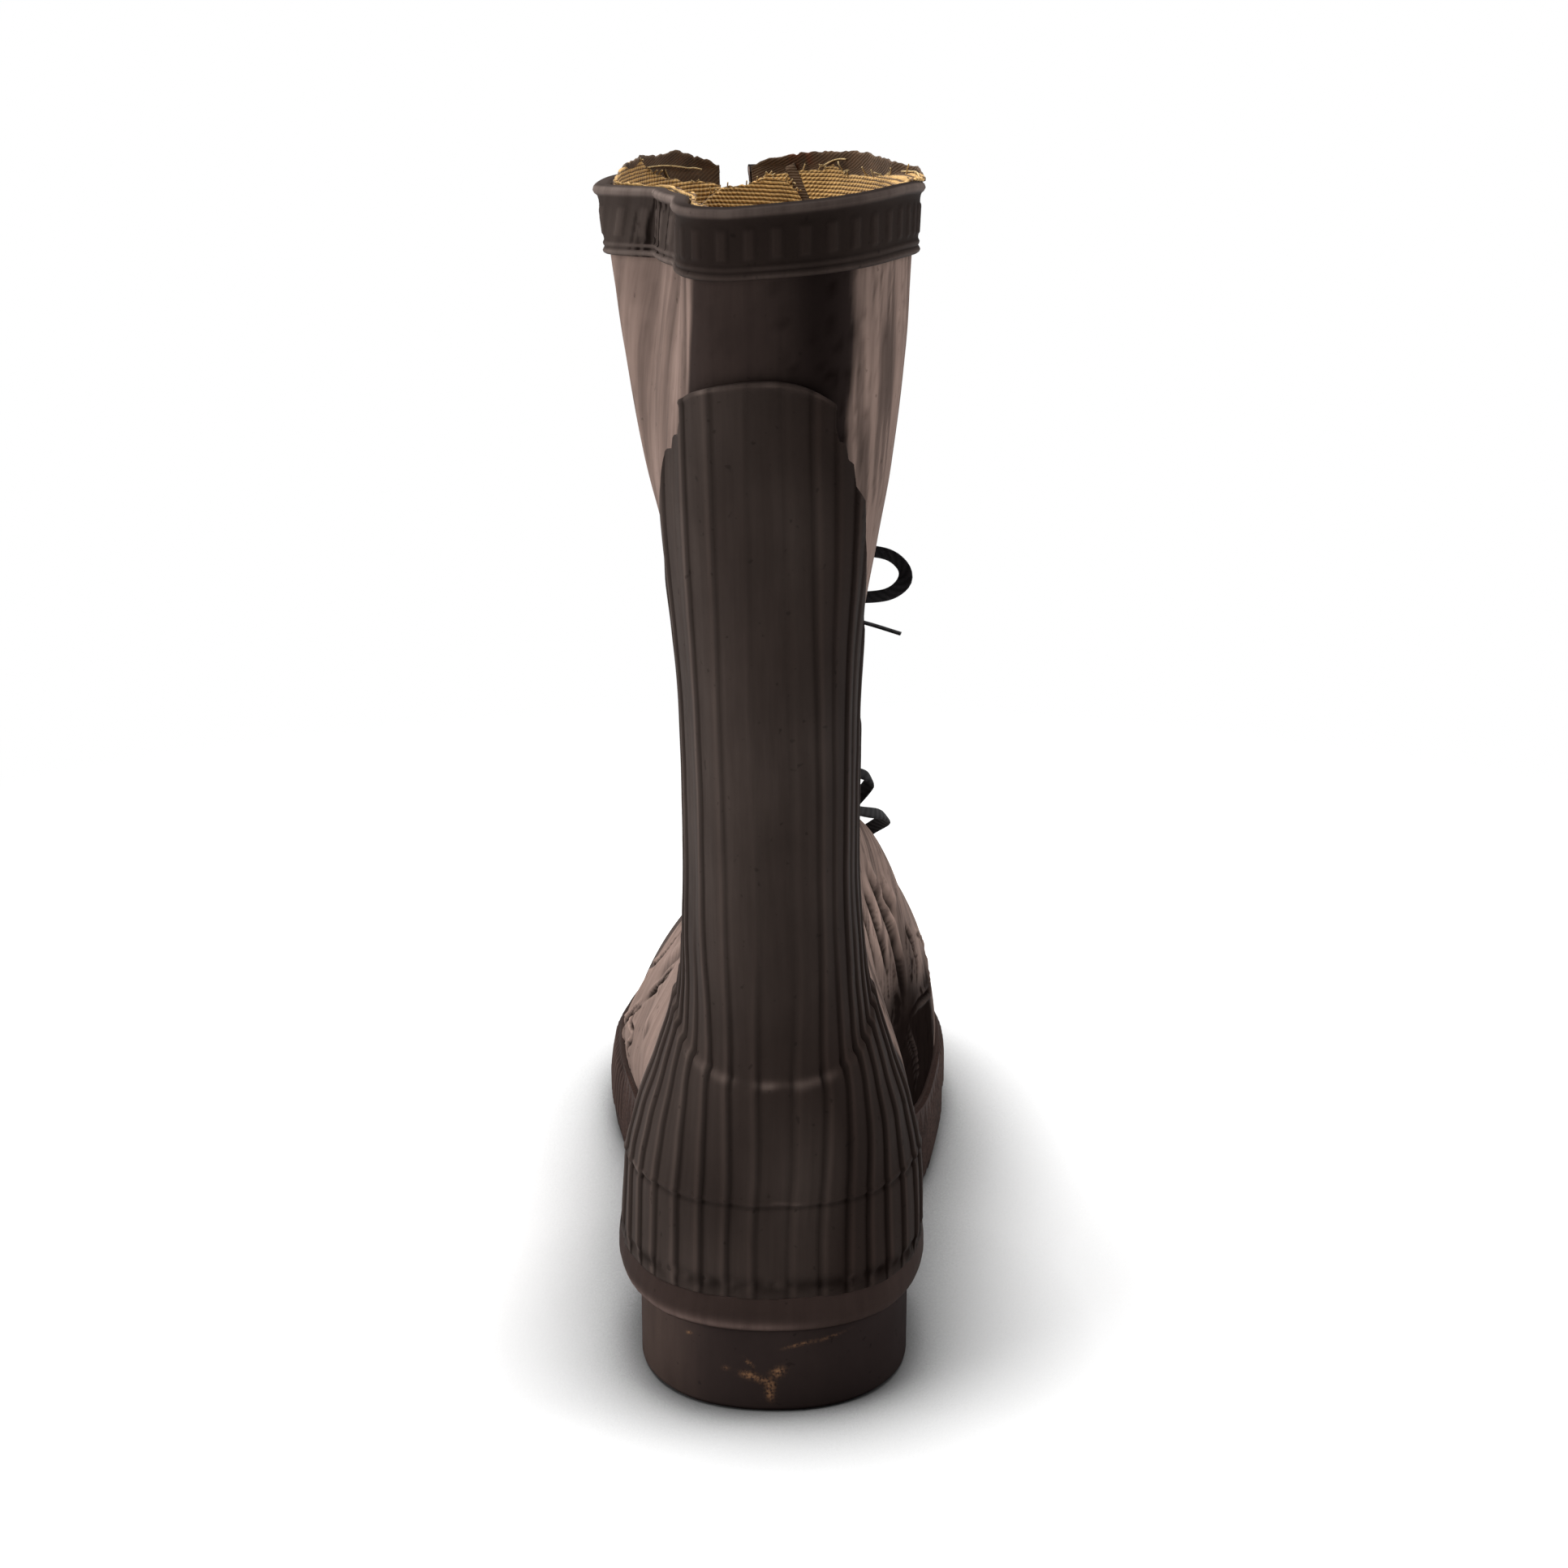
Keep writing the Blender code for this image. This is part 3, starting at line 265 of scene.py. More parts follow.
class Section:
    """One cut through the last: a closed line, read by its distance from the back centre.

    height_at gives the cut's height at each y, and front_x where its front centre line runs.
    Distances run negative round the lateral side and positive round the medial side, and both
    ends are the front centre line.
    """

    SAMPLES = 90

    def __init__(self, height_at, front_x):
        middle = np.array([[0.0, SPINE_START]])
        back = cast(middle, np.array([[0.0, -1.0]]), height_at)[0, 1]
        front = cast(middle + [[front_x, 0]], np.array([[0.0, 1.0]]), height_at)[0, 1]
        round_off = min(ROUND_OFF, ROUND_SHARE * (front - back))
        first, last = back + round_off, front - round_off
        arc, straight = math.pi / 2 * round_off, last - first
        travel = np.linspace(0, 2 * arc + straight, self.SAMPLES)
        turn = np.where(travel < arc, travel, np.clip(travel - straight, arc, None)) / round_off
        along = np.clip(first + travel - arc, first, last)
        spine_x = front_x * (along - back) / (front - back)
        sides = []
        for side in (-1, 1):
            direction = np.column_stack([side * np.sin(turn), -np.cos(turn)])
            sides.append(cast(np.column_stack([spine_x, along]), direction, height_at))
        loop = np.vstack([sides[0][::-1], sides[1][1:]])
        steps = np.linalg.norm(np.diff(loop, axis=0), axis=1)
        distance = np.concatenate([[0], np.cumsum(steps)])
        self.points = loop
        self.distance = distance - distance[self.SAMPLES - 1]
        self.lateral, self.medial = -self.distance[0], self.distance[-1]

    def at(self, distances):
        """The points at distances round the cut."""
        return np.column_stack([np.interp(distances, self.distance, self.points[:, i]) for i in range(3)])

    def travel(self, shares):
        """Distances round the cut at shares of the way to the front."""
        return np.where(shares < 0, shares * self.lateral, shares * self.medial)


# ---------------------------------------------------------------- dense reading of the surface
LEVELS = np.linspace(0, len(SLICES) - 1, 6 * (len(SLICES) - 1) + 1)
SHARES = np.linspace(-1, 1, 241)


def level_section(v):
    height, slope = slice_value("height", v), slice_value("slope", v)
    follow, front_x = slice_value("follow", v), slice_value("front_x", v)

    def height_at(y):
        return (1 - follow) * (height + slope * y) + follow * column(SOLE, "along", "deck", y)

    return Section(height_at, float(front_x))


class Skin:
    """The last's surface, read at a slice and a distance round it from the back centre line."""

    def __init__(self):
        cuts = [level_section(v) for v in LEVELS]
        self.lateral = np.array([cut.lateral for cut in cuts])
        self.medial = np.array([cut.medial for cut in cuts])
        self.points = np.array([cut.at(cut.travel(SHARES)) for cut in cuts])

    def length(self, v, distance):
        """How far the front centre line is from the back one, on the side of the distance."""
        sides = np.interp(v, LEVELS, self.lateral), np.interp(v, LEVELS, self.medial)
        return np.where(np.asarray(distance) < 0, *sides)

    def from_front(self, v, far):
        """The distance of a point beside the front centre line, negative to the lateral side."""
        return np.sign(far) * self.length(v, far) - far

    def at(self, v, distance, offset=0.0):
        """Points and the ways straight out of the boot there."""
        v, distance = np.broadcast_arrays(np.asarray(v, float), np.asarray(distance, float))
        share = np.clip(distance / self.length(v, distance), -1, 1)
        row = np.clip(v / LEVELS[1], 0, len(LEVELS) - 1.001)
        line = np.clip((share + 1) / 2 * (len(SHARES) - 1), 0, len(SHARES) - 1.001)
        i, j = row.astype(int), line.astype(int)
        a, b = (row - i)[:, None], (line - j)[:, None]
        low = self.points[i, j] * (1 - b) + self.points[i, j + 1] * b
        high = self.points[i + 1, j] * (1 - b) + self.points[i + 1, j + 1] * b
        points = low * (1 - a) + high * a
        slope, depth = form_slope(points), form(*points.T)
        steep = np.linalg.norm(slope, axis=1)
        points -= slope * (depth / steep**2)[:, None]
        outward = slope / steep[:, None]
        return points + outward * np.reshape(offset, (-1, 1)), outward


def form_slope(points):
    """How fast the last's form changes along x, y and z."""
    step = 0.4
    out = np.empty_like(points)
    for axis in range(3):
        ahead, behind = points.copy(), points.copy()
        ahead[:, axis] += step
        behind[:, axis] -= step
        out[:, axis] = (form(*ahead.T) - form(*behind.T)) / (2 * step)
    return out


SLIP_FROM, SLIP_LATERAL, SLIP_MEDIAL = (16.3, 17.6), 3.6, -2.6
SKIN = Skin()
BACK_HEIGHTS = slice_value("height", LEVELS)


def row_of(height):
    """The slice whose back centre lies at this height."""
    return np.interp(height, BACK_HEIGHTS, LEVELS)


def front_row(height):
    """The slice whose front centre line lies at this height."""
    fronts = SKIN.points[:, -1, 2]
    first = int(THROAT_ROW / LEVELS[1])
    return np.interp(height, fronts[first:], LEVELS[first:])


def edge_of(v, side=0):
    """How far a quarter's front edge lies from the front centre line.

    The slack collar's opening has slipped a little to the lateral side.
    """
    slip = ease(SLIP_FROM, np.asarray(v, float))
    return slice_value("edge", v) + slip * np.where(np.asarray(side) < 0, SLIP_LATERAL, SLIP_MEDIAL) * (side != 0)


# The slack shaft sags: behind, its collar stands higher on the medial side than on the lateral.
TILT, TILT_FROM, TILT_WIDTH, TILT_LOWEST, TILT_BACK = 3.6, (268.0, 336.0), 40.0, -0.3, (28.0, 80.0)


def in_frame(points):
    """The boot's millimetres as metres in the CAD frame, with the collar's tilt."""
    low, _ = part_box("heel")
    points = np.array(points, float)
    lean = np.clip(points[..., 0] / TILT_WIDTH, TILT_LOWEST, 1.0) * (1 - 0.85 * ease(TILT_BACK, points[..., 1]))
    points[..., 2] += TILT * lean * ease(TILT_FROM, points[..., 2])
    return points * MM + np.array([low.x + HEEL_HALF_WIDTH * MM, low.y, 0.0])


# ---------------------------------------------------------------- relief
NOISE_SIDE = 32
NOISE = np.random.RandomState(7).uniform(-1, 1, (NOISE_SIDE, NOISE_SIDE, NOISE_SIDE))


def lumps(points, size, seed=0):
    """Smooth random numbers from -1 to 1 that change over about size millimetres."""
    place = np.asarray(points, float) / size + 17.3 * (seed + 1)
    cell = np.floor(place).astype(int)
    t = place - cell
    t = t * t * (3 - 2 * t)
    total = 0.0
    for corner in np.ndindex(2, 2, 2):
        i, j, k = ((cell + corner) % NOISE_SIDE).T
        weight = np.prod(np.where(corner, t, 1 - t), axis=1)
        total = total + NOISE[i, j, k] * weight
    return total


def flat_lumps(x, y, size, seed):
    """The same over two coordinates, of which y may be one number."""
    return lumps(np.column_stack([x, y + 0 * x, 0 * x]), size, seed)


def bump(value, middle, width):
    """1 at the middle, falling softly to 0 over about the width on both sides."""
    return np.exp(-(((value - middle) / width) ** 2))


# ---------------------------------------------------------------- meshes
def as_mesh(name, bm):
    """A new mesh from a bmesh, which is freed."""
    mesh = bpy.data.meshes.new(name)
    bm.to_mesh(mesh)
    bm.free()
    return mesh


def paint(mesh, material):
    """Gives a mesh one material."""
    mesh.materials.clear()
    mesh.materials.append(material)


def sheet(name, columns, rows, place):
    """A sheet from Blender's grid. place(u, v) gives its corners' points, uv and attributes.

    u and v are each corner's values from columns and rows.
    """
    bm = bmesh.new()
    bmesh.ops.create_grid(bm, x_segments=len(columns) - 1, y_segments=len(rows) - 1, size=0.5)
    mesh = as_mesh(name, bm)
    flat = np.empty(len(mesh.vertices) * 3, np.float32)
    mesh.vertices.foreach_get("co", flat)
    flat = flat.reshape(-1, 3) + 0.5
    i = np.rint(flat[:, 0] * (len(columns) - 1)).astype(int)
    j = np.rint(flat[:, 1] * (len(rows) - 1)).astype(int)
    u, v = np.asarray(columns, float)[i], np.asarray(rows, float)[j]
    points, uv, attributes = place(u, v)
    mesh.vertices.foreach_set("co", in_frame(points).astype(np.float32).ravel())
    corner = np.empty(len(mesh.loops), np.int32)
    mesh.loops.foreach_get("vertex_index", corner)
    layer = mesh.uv_layers.new(name="surface")
    layer.data.foreach_set("uv", (np.asarray(uv)[corner] * MM).astype(np.float32).ravel())
    for key, values in attributes.items():
        attribute = mesh.attributes.new(key, "FLOAT", "POINT")
        attribute.data.foreach_set("value", np.asarray(values, np.float32))
    mesh.shade_smooth()
    mesh.update()
    return mesh


def finish_piece(name, mesh, material, replaces=()):
    """Puts a mesh into the scene as a piece of the boot, in place of solids of the frame."""
    piece = bpy.data.objects.new(name, mesh)
    bpy.context.scene.collection.objects.link(piece)
    paint(mesh, material)
    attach(piece, BODY)
    if replaces:
        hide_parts(*replaces)
    return piece


def thicken(piece, thickness, offset=-1.0):
    """Makes a sheet into cloth of that thickness."""
    solid = piece.modifiers.new("thickness", "SOLIDIFY")
    solid.thickness = thickness * MM
    solid.offset = offset


def lace_route(points, spacing):
    """Points about evenly spaced along a smooth curve through the given ones."""
    points = np.array(points, float)
    padded = np.vstack([2 * points[0] - points[1], points, 2 * points[-1] - points[-2]])
    fine = []
    for a, b, c, d in zip(padded, padded[1:], padded[2:], padded[3:]):
        for t in np.linspace(0, 1, 12, endpoint=False):
            square = (2 * a - 5 * b + 4 * c - d) * t**2
            cube = (3 * b - a - 3 * c + d) * t**3
            fine.append((2 * b + (c - a) * t + square + cube) / 2)
    fine = np.array(fine + [points[-1]])
    travel = np.concatenate([[0], np.cumsum(np.linalg.norm(np.diff(fine, axis=0), axis=1))])
    at = np.linspace(0, travel[-1], max(2, round(travel[-1] / spacing)) + 1)
    return np.column_stack([np.interp(at, travel, fine[:, i]) for i in range(3)])


def weld(mesh, near=1e-6):
    """Joins the corners of a sheet that meet, as where it closes into a tube."""
    bm = bmesh.new()
    bm.from_mesh(mesh)
    bmesh.ops.remove_doubles(bm, verts=bm.verts, dist=near)
    bmesh.ops.dissolve_degenerate(bm, edges=bm.edges, dist=near)
    bmesh.ops.recalc_face_normals(bm, faces=bm.faces)
    bm.to_mesh(mesh)
    bm.free()


LACE_SIDES = 14


def ribbon(name, route, facing, width, thickness, sides=LACE_SIDES):
    """A flat lace along a route. facing is where its flat side looks, one way for each point."""
    ahead = np.gradient(route, axis=0)
    ahead /= np.linalg.norm(ahead, axis=1)[:, None]
    facing = np.broadcast_to(np.asarray(facing, float), route.shape)
    up = facing - ahead * np.sum(facing * ahead, axis=1)[:, None]
    up /= np.linalg.norm(up, axis=1)[:, None]
    across = np.cross(ahead, up)
    steps = np.linalg.norm(np.diff(route, axis=0), axis=1)
    travel = np.concatenate([[0], np.cumsum(steps)])
    rows = np.concatenate([[-1], np.arange(len(route)), [len(route)]])

    def place(u, v):
        i = np.clip(v, 0, len(route) - 1).astype(int)
        capped = np.where((v < 0) | (v > len(route) - 1), 0.0, 1.0)
        turn = 2 * math.pi * u
        x = np.sign(np.cos(turn)) * np.abs(np.cos(turn)) ** 0.6 * width / 2 * capped
        y = np.sign(np.sin(turn)) * np.abs(np.sin(turn)) ** 0.8 * thickness / 2 * capped
        points = route[i] + across[i] * x[:, None] + up[i] * y[:, None]
        return points, np.column_stack([x, travel[i]]), {}

    mesh = sheet(name, np.linspace(0, 1, sides + 1), rows, place)
    weld(mesh)
    return mesh


def joined(name, meshes):
    """Several meshes as one."""
    bm = bmesh.new()
    for mesh in meshes:
        bm.from_mesh(mesh)
        bpy.data.meshes.remove(mesh)
    return as_mesh(name, bm)


# ---------------------------------------------------------------- materials
def linear(code):
    """An sRGB hex colour as the linear colour that a shader takes."""
    parts = [int(code[i:i + 2], 16) / 255 for i in (1, 3, 5)]
    return [p / 12.92 if p <= 0.04045 else ((p + 0.055) / 1.055) ** 2.4 for p in parts]


def add(tree, kind, inputs=None, stops=(), **settings):
    """Adds a node with its settings and its inputs, each a value or the socket it is linked to.

    A colour ramp also has stops, each a position and a linear colour or a grey.
    """
    node = tree.nodes.new("ShaderNode" + kind)
    for key, value in settings.items():
        setattr(node, key, value)
    for key, value in (inputs or {}).items():
        if isinstance(value, bpy.types.NodeSocket):
            tree.links.new(value, node.inputs[key])
        else:
            node.inputs[key].default_value = value
    elements = node.color_ramp.elements if stops else ()
    while len(elements) < len(stops):
        elements.new(0.5)
    for element, (position, colour) in zip(elements, stops):
        element.position = position
        element.color = (*colour, 1) if hasattr(colour, "__len__") else (colour, colour, colour, 1)
    return node


def new_material(name):
    """An empty material and its node tree."""
    material = bpy.data.materials.new(name)
    material.use_nodes = True
    tree = material.node_tree
    tree.nodes.clear()
    return material, tree


def surfaced(material, inputs, height=None, strength=0.0, depth=0.0):
    """Ends a material with its shader and, where it has a height, bumps of so many millimetres."""
    tree = material.node_tree
    if height is not None:
        bumps = add(tree, "Bump", {"Height": height, "Strength": strength, "Distance": depth * MM})
        inputs = {**inputs, "Normal": bumps.outputs["Normal"]}
    shader = add(tree, "BsdfPrincipled", inputs)
    add(tree, "OutputMaterial", {"Surface": shader.outputs[0]})
    return material


def shades(base, low, high, span=(0.3, 0.7)):
    """A ramp's stops from a darker to a lighter shade of a colour."""
    return tuple((at, [c * share for c in base]) for at, share in zip(span, (low, high)))


MIXED = {"data_type": "RGBA"}
MULTIPLIED = {"data_type": "RGBA", "blend_type": "MULTIPLY"}
DULL = {"Specular IOR Level": 0.1}
# A wave node turns once over this much of its scaled coordinate.
WAVE_TURN = 2 * math.pi / 20


def rubber(name, base, dusty, roughness, streak=(3.0, 46.0), cloud=26.0, grain=0.8, speck=2.6):
    """Hand-laid vulcanised rubber: nearly matt, with a pale bloom that handling wears off.

    The bloom is drawn where the piece's bloom attribute puts it, in streaks that run up
    the boot; that attribute also carries painted highlights and painted shadow. The relief attribute
    paints shade into grooves, which are also without any shine, and paints highlights on ridges, partly
    where they have been rubbed.
    Specks of dirt and a fine grain lie over both.
    """
    material, tree = new_material(name)
    place = add(tree, "TexCoord").outputs["Object"]
    around = add(tree, "UVMap", uv_map="surface").outputs["UV"]
    bloom, relief, scuff = [
        add(tree, "Attribute", attribute_name=key).outputs["Fac"] for key in ("bloom", "relief", "scuff")
    ]
    clouds, grains, specks = [
        add(tree, "TexNoise", {"Vector": place, "Scale": 1 / (size * MM), "Detail": detail}).outputs["Fac"]
        for size, detail in ((cloud, 4.0), (grain, 3.0), (speck, 1.0))
    ]
    scale = (1 / (streak[0] * MM), 1 / (streak[1] * MM), 1)
    run = add(tree, "Mapping", {"Vector": around, "Scale": scale}).outputs[0]
    streaks = add(tree, "TexNoise", {"Vector": run, "Scale": 1.0, "Detail": 5.0, "Roughness": 0.6}).outputs["Fac"]
    streaky = add(tree, "ValToRGB", {"Fac": streaks}, ((0.28, 0.62), (0.60, 1.0))).outputs[0]
    cloudy = add(tree, "ValToRGB", {"Fac": clouds}, ((0.30, 0.78), (0.66, 1.0))).outputs[0]
    patch = add(tree, "Math", {0: streaky, 1: cloudy}, operation="MULTIPLY").outputs[0]
    patch = add(tree, "Math", {0: patch, 1: bloom}, operation="MULTIPLY").outputs[0]
    tint = add(tree, "ValToRGB", {"Fac": clouds}, shades(base, 0.88, 1.12)).outputs[0]
    colour = add(tree, "Mix", {"Factor": patch, "A": tint, "B": (*dusty, 1)}, **MIXED).outputs["Result"]
    # Painted shade in grooves and painted highlight on ridges, partly wear, from the relief attribute.
    worn_and_shaded = add(tree, "ValToRGB", {"Fac": relief}, ((0.0, 0.30), (0.5, 1.0), (1.0, 2.3))).outputs[0]
    colour = add(tree, "Mix", {"Factor": 1.0, "A": colour, "B": worn_and_shaded}, **MULTIPLIED).outputs["Result"]
    dirt_and_crease_shade = add(tree, "ValToRGB", {"Fac": specks}, ((0.71, 1.0), (0.77, 0.55))).outputs[0]
    colour = add(tree, "Mix", {"Factor": 0.7, "A": colour, "B": dirt_and_crease_shade}, **MULTIPLIED).outputs["Result"]
    broken = add(tree, "ValToRGB", {"Fac": grains}, ((0.36, 0.0), (0.6, 1.0))).outputs[0]
    broken = add(tree, "Math", {0: scuff, 1: broken}, operation="MULTIPLY").outputs[0]
    colour = add(tree, "Mix", {"Factor": broken, "A": colour, "B": (*SCUFFED, 1)}, **MIXED).outputs["Result"]
    rough = add(tree, "MapRange", {"Value": patch, "To Min": roughness, "To Max": roughness + 0.2})
    glare = add(tree, "MapRange", {"Value": relief, "From Min": 0.1, "From Max": 0.45, "To Max": 0.03})
    height = add(tree, "Mix", {"Factor": 0.5, "A": grains, "B": streaks}).outputs["Result"]
    shine = {"Roughness": rough.outputs["Result"], "Specular IOR Level": glare.outputs["Result"]}
    return surfaced(material, {"Base Color": colour, **shine}, height, 0.2, 0.12)


def moulded_rubber(name, base, cloud=18.0, pit=0.9):
    """The moulded sole and heel: dull, with fine pits and grey grit trodden into it."""
    material, tree = new_material(name)
    place = add(tree, "TexCoord").outputs["Object"]
    clouds, pits = [
        add(tree, "TexNoise", {"Vector": place, "Scale": 1 / (size * MM), "Detail": detail}).outputs["Fac"]
        for size, detail in ((cloud, 4.0), (pit, 3.0))
    ]
    tint = add(tree, "ValToRGB", {"Fac": clouds}, shades(base, 0.75, 1.25)).outputs[0]
    grit = add(tree, "ValToRGB", {"Fac": pits}, ((0.38, 0.6), (0.6, 1.0))).outputs[0]
    colour = add(tree, "Mix", {"Factor": 1.0, "A": tint, "B": grit}, **MULTIPLIED).outputs["Result"]
    return surfaced(material, {"Base Color": colour, "Roughness": 0.75, **DULL}, pits, 0.3, 0.15)


def knit(name, base, shade, rib=1.15, stitch=0.85, cloud=9.0):
    """Ribbed cotton knit: rows of round stitches with dark lines of painted shade between them, quite matt."""
    material, tree = new_material(name)
    around = add(tree, "UVMap", uv_map="surface").outputs["UV"]
    scaled = add(tree, "Mapping", {"Vector": around, "Scale": (1 / (stitch * MM), 1 / (rib * MM), 1)}).outputs[0]
    place = add(tree, "TexCoord").outputs["Object"]
    wave = {"Vector": scaled, "Scale": WAVE_TURN, "Detail": 1.0}
    rows = add(tree, "TexWave", {**wave, "Distortion": 1.2, "Detail Scale": 0.4}, bands_direction="Y").outputs["Fac"]
    loops = add(tree, "TexWave", {**wave, "Distortion": 2.2}, bands_direction="DIAGONAL").outputs["Fac"]
    clouds = add(tree, "TexNoise", {"Vector": place, "Scale": 1 / (cloud * MM), "Detail": 4.0}).outputs["Fac"]
    tint = add(tree, "ValToRGB", {"Fac": clouds}, shades(base, 0.72, 1.2)).outputs[0]
    # Painted shade: the dark lines between the rows.
    lines = add(tree, "ValToRGB", {"Fac": rows}, ((0.03, 0.05), (0.4, 1.0))).outputs[0]
    looped = add(tree, "ValToRGB", {"Fac": loops}, ((0.0, 0.74), (0.6, 1.04))).outputs[0]
    colour = add(tree, "Mix", {"Factor": lines, "A": (*shade, 1), "B": tint}, **MIXED).outputs["Result"]
    colour = add(tree, "Mix", {"Factor": 1.0, "A": colour, "B": looped}, **MULTIPLIED).outputs["Result"]
    height = add(tree, "Math", {0: rows, 1: loops}, operation="ADD").outputs[0]
    shine = {"Roughness": 0.95, "Sheen Weight": 0.2, **DULL}
    return surfaced(material, {"Base Color": colour, **shine}, height, 0.8, 0.35)


def twill(name, base, thread, patch, pitch=0.46, cloud=7.0):
    """Cotton twill facing: fine slanting ridges, faded along them, with a worn reddish patch."""
    material, tree = new_material(name)
    around = add(tree, "UVMap", uv_map="surface").outputs["UV"]
    scaled = add(tree, "Mapping", {"Vector": around, "Scale": (0.5 / (pitch * MM), 1 / (pitch * MM), 1)}).outputs[0]
    place = add(tree, "TexCoord").outputs["Object"]
    wave = {"Vector": scaled, "Scale": WAVE_TURN, "Distortion": 1.6, "Detail": 2.0}
    ridges = add(tree, "TexWave", wave, bands_direction="DIAGONAL").outputs["Fac"]
    clouds = add(tree, "TexNoise", {"Vector": place, "Scale": 1 / (cloud * MM), "Detail": 5.0}).outputs["Fac"]
    tint = add(tree, "ValToRGB", {"Fac": clouds}, shades(base, 0.5, 1.25)).outputs[0]
    faded = add(tree, "ValToRGB", {"Fac": ridges}, ((0.4, 0.0), (1.0, 0.2))).outputs[0]
    colour = add(tree, "Mix", {"Factor": faded, "A": tint, "B": (*thread, 1)}, **MIXED).outputs["Result"]
    worn_and_shaded = add(tree, "Attribute", attribute_name="patch").outputs["Fac"]
    colour = add(tree, "Mix", {"Factor": worn_and_shaded, "A": colour, "B": (*patch, 1)}, **MIXED).outputs["Result"]
    shine = {"Roughness": 0.9, "Sheen Weight": 0.15, **DULL}
    return surfaced(material, {"Base Color": colour, **shine}, ridges, 0.6, 0.25)


def cotton_thread(name, base, cloud=1.4):
    """Loose undyed cotton threads, paler where they have frayed."""
    material, tree = new_material(name)
    place = add(tree, "TexCoord").outputs["Object"]
    clouds = add(tree, "TexNoise", {"Vector": place, "Scale": 1 / (cloud * MM), "Detail": 3.0}).outputs["Fac"]
    tint = add(tree, "ValToRGB", {"Fac": clouds}, shades(base, 0.6, 1.2)).outputs[0]
    return surfaced(material, {"Base Color": tint, "Roughness": 0.95, **DULL}, clouds, 0.5, 0.1)


def lace_cloth(name, base, weave=4.4):
    """Flat woven cotton lace, black, with a fine chevron of threads."""
    material, tree = new_material(name)
    along = add(tree, "UVMap", uv_map="surface").outputs["UV"]
    wave = {"Vector": along, "Scale": 1 / (weave * MM), "Distortion": 0.4}
    wave = add(tree, "TexWave", wave, bands_direction="DIAGONAL").outputs["Fac"]
    tint = add(tree, "ValToRGB", {"Fac": wave}, shades(base, 0.55, 1.3, (0.2, 0.8))).outputs[0]
    return surfaced(material, {"Base Color": tint, "Roughness": 0.9, "Sheen Weight": 0.06, **DULL}, wave, 0.6, 0.2)


def browned_steel(name, base, wear_and_highlight=1.6):
    """Lacquered steel of the eyelets and hooks: brown, worn to a dull metal on its high places."""
    material, tree = new_material(name)
    place = add(tree, "TexCoord").outputs["Object"]
    worn_and_shaded = add(tree, "TexNoise", {"Vector": place, "Scale": 1 / (wear_and_highlight * MM), "Detail": 4.0}).outputs["Fac"]
    tint = add(tree, "ValToRGB", {"Fac": worn_and_shaded}, shades(base, 0.6, 1.5, (0.35, 0.7))).outputs[0]
    rough = add(tree, "MapRange", {"Value": worn_and_shaded, "To Min": 0.3, "To Max": 0.6}).outputs["Result"]
    return surfaced(material, {"Base Color": tint, "Metallic": 0.7, "Roughness": rough})

class BootSettings(bpy.types.PropertyGroup):
    """Sizes and colours that a user would change"""

    lace_width: bpy.props.FloatProperty(
        name="Lace width", description="Width of the flat lace", default=4.6 * MM, unit="LENGTH")
    lace_thickness: bpy.props.FloatProperty(
        name="Lace thickness", description="Thickness of the flat lace", default=1.1 * MM, unit="LENGTH")
    bar_rise: bpy.props.FloatProperty(
        name="Band bars", description="How far the collar band's bars stand out", default=0.42 * MM, unit="LENGTH")
    knurl_rise: bpy.props.FloatProperty(
        name="Knurl", description="How deep the sole edge's knurling is", default=0.8 * MM, unit="LENGTH")
    upper_colour: bpy.props.FloatVectorProperty(
        name="Upper", description="The upper's clean rubber", subtype="COLOR", default=linear("#231b19"))
    bloom_colour: bpy.props.FloatVectorProperty(
        name="Bloom", description="The pale bloom on the upper", subtype="COLOR", default=linear("#87736a"))
    counter_colour: bpy.props.FloatVectorProperty(
        name="Counter", description="The counter, stay and band", subtype="COLOR", default=linear("#231b18"))
    heel_colour: bpy.props.FloatVectorProperty(
        name="Heel", description="The heel's side", subtype="COLOR", default=linear("#292120"))
    knit_colour: bpy.props.FloatVectorProperty(
        name="Knit", description="The lining's knit", subtype="COLOR", default=linear("#cfa567"))
    lace_colour: bpy.props.FloatVectorProperty(
        name="Lace", description="The lace", subtype="COLOR", default=linear("#161416"))


def chosen(name):
    """A setting of the boot: a colour as a list, or a size in millimetres."""
    value = getattr(bpy.context.scene.boot, name)
    return list(value) if hasattr(value, "__len__") else value / MM


SCUFFED = (0.22, 0.115, 0.06)
MATERIALS = {}


def finish(kind):
    """The material of that name, made the first time it is asked for."""
    makers = {
        "upper": lambda: rubber("upper rubber", chosen("upper_colour"), chosen("bloom_colour"), 0.75),
        "counter": lambda: rubber("counter rubber", chosen("counter_colour"), linear("#857770"), 0.7),
        "sole": lambda: rubber("sole rubber", linear("#2b211e"), linear("#86716a"), 0.75),
        "heel": lambda: rubber("heel rubber", chosen("heel_colour"), linear("#6f5c52"), 0.75),
        "tread": lambda: moulded_rubber("moulded sole rubber", linear("#3a2a25")),
        "knit": lambda: knit("ribbed knit", chosen("knit_colour"), linear("#4d3115")),
        "twill": lambda: twill("facing twill", linear("#54402f"), linear("#8c7660"), linear("#613521")),
        "thread": lambda: cotton_thread("cotton thread", linear("#c9b083")),
        "lace": lambda: lace_cloth("cotton lace", chosen("lace_colour")),
        "metal": lambda: browned_steel("browned steel", linear("#5a3b30")),
    }
    if kind not in MATERIALS:
        MATERIALS[kind] = makers[kind]()
    return MATERIALS[kind]


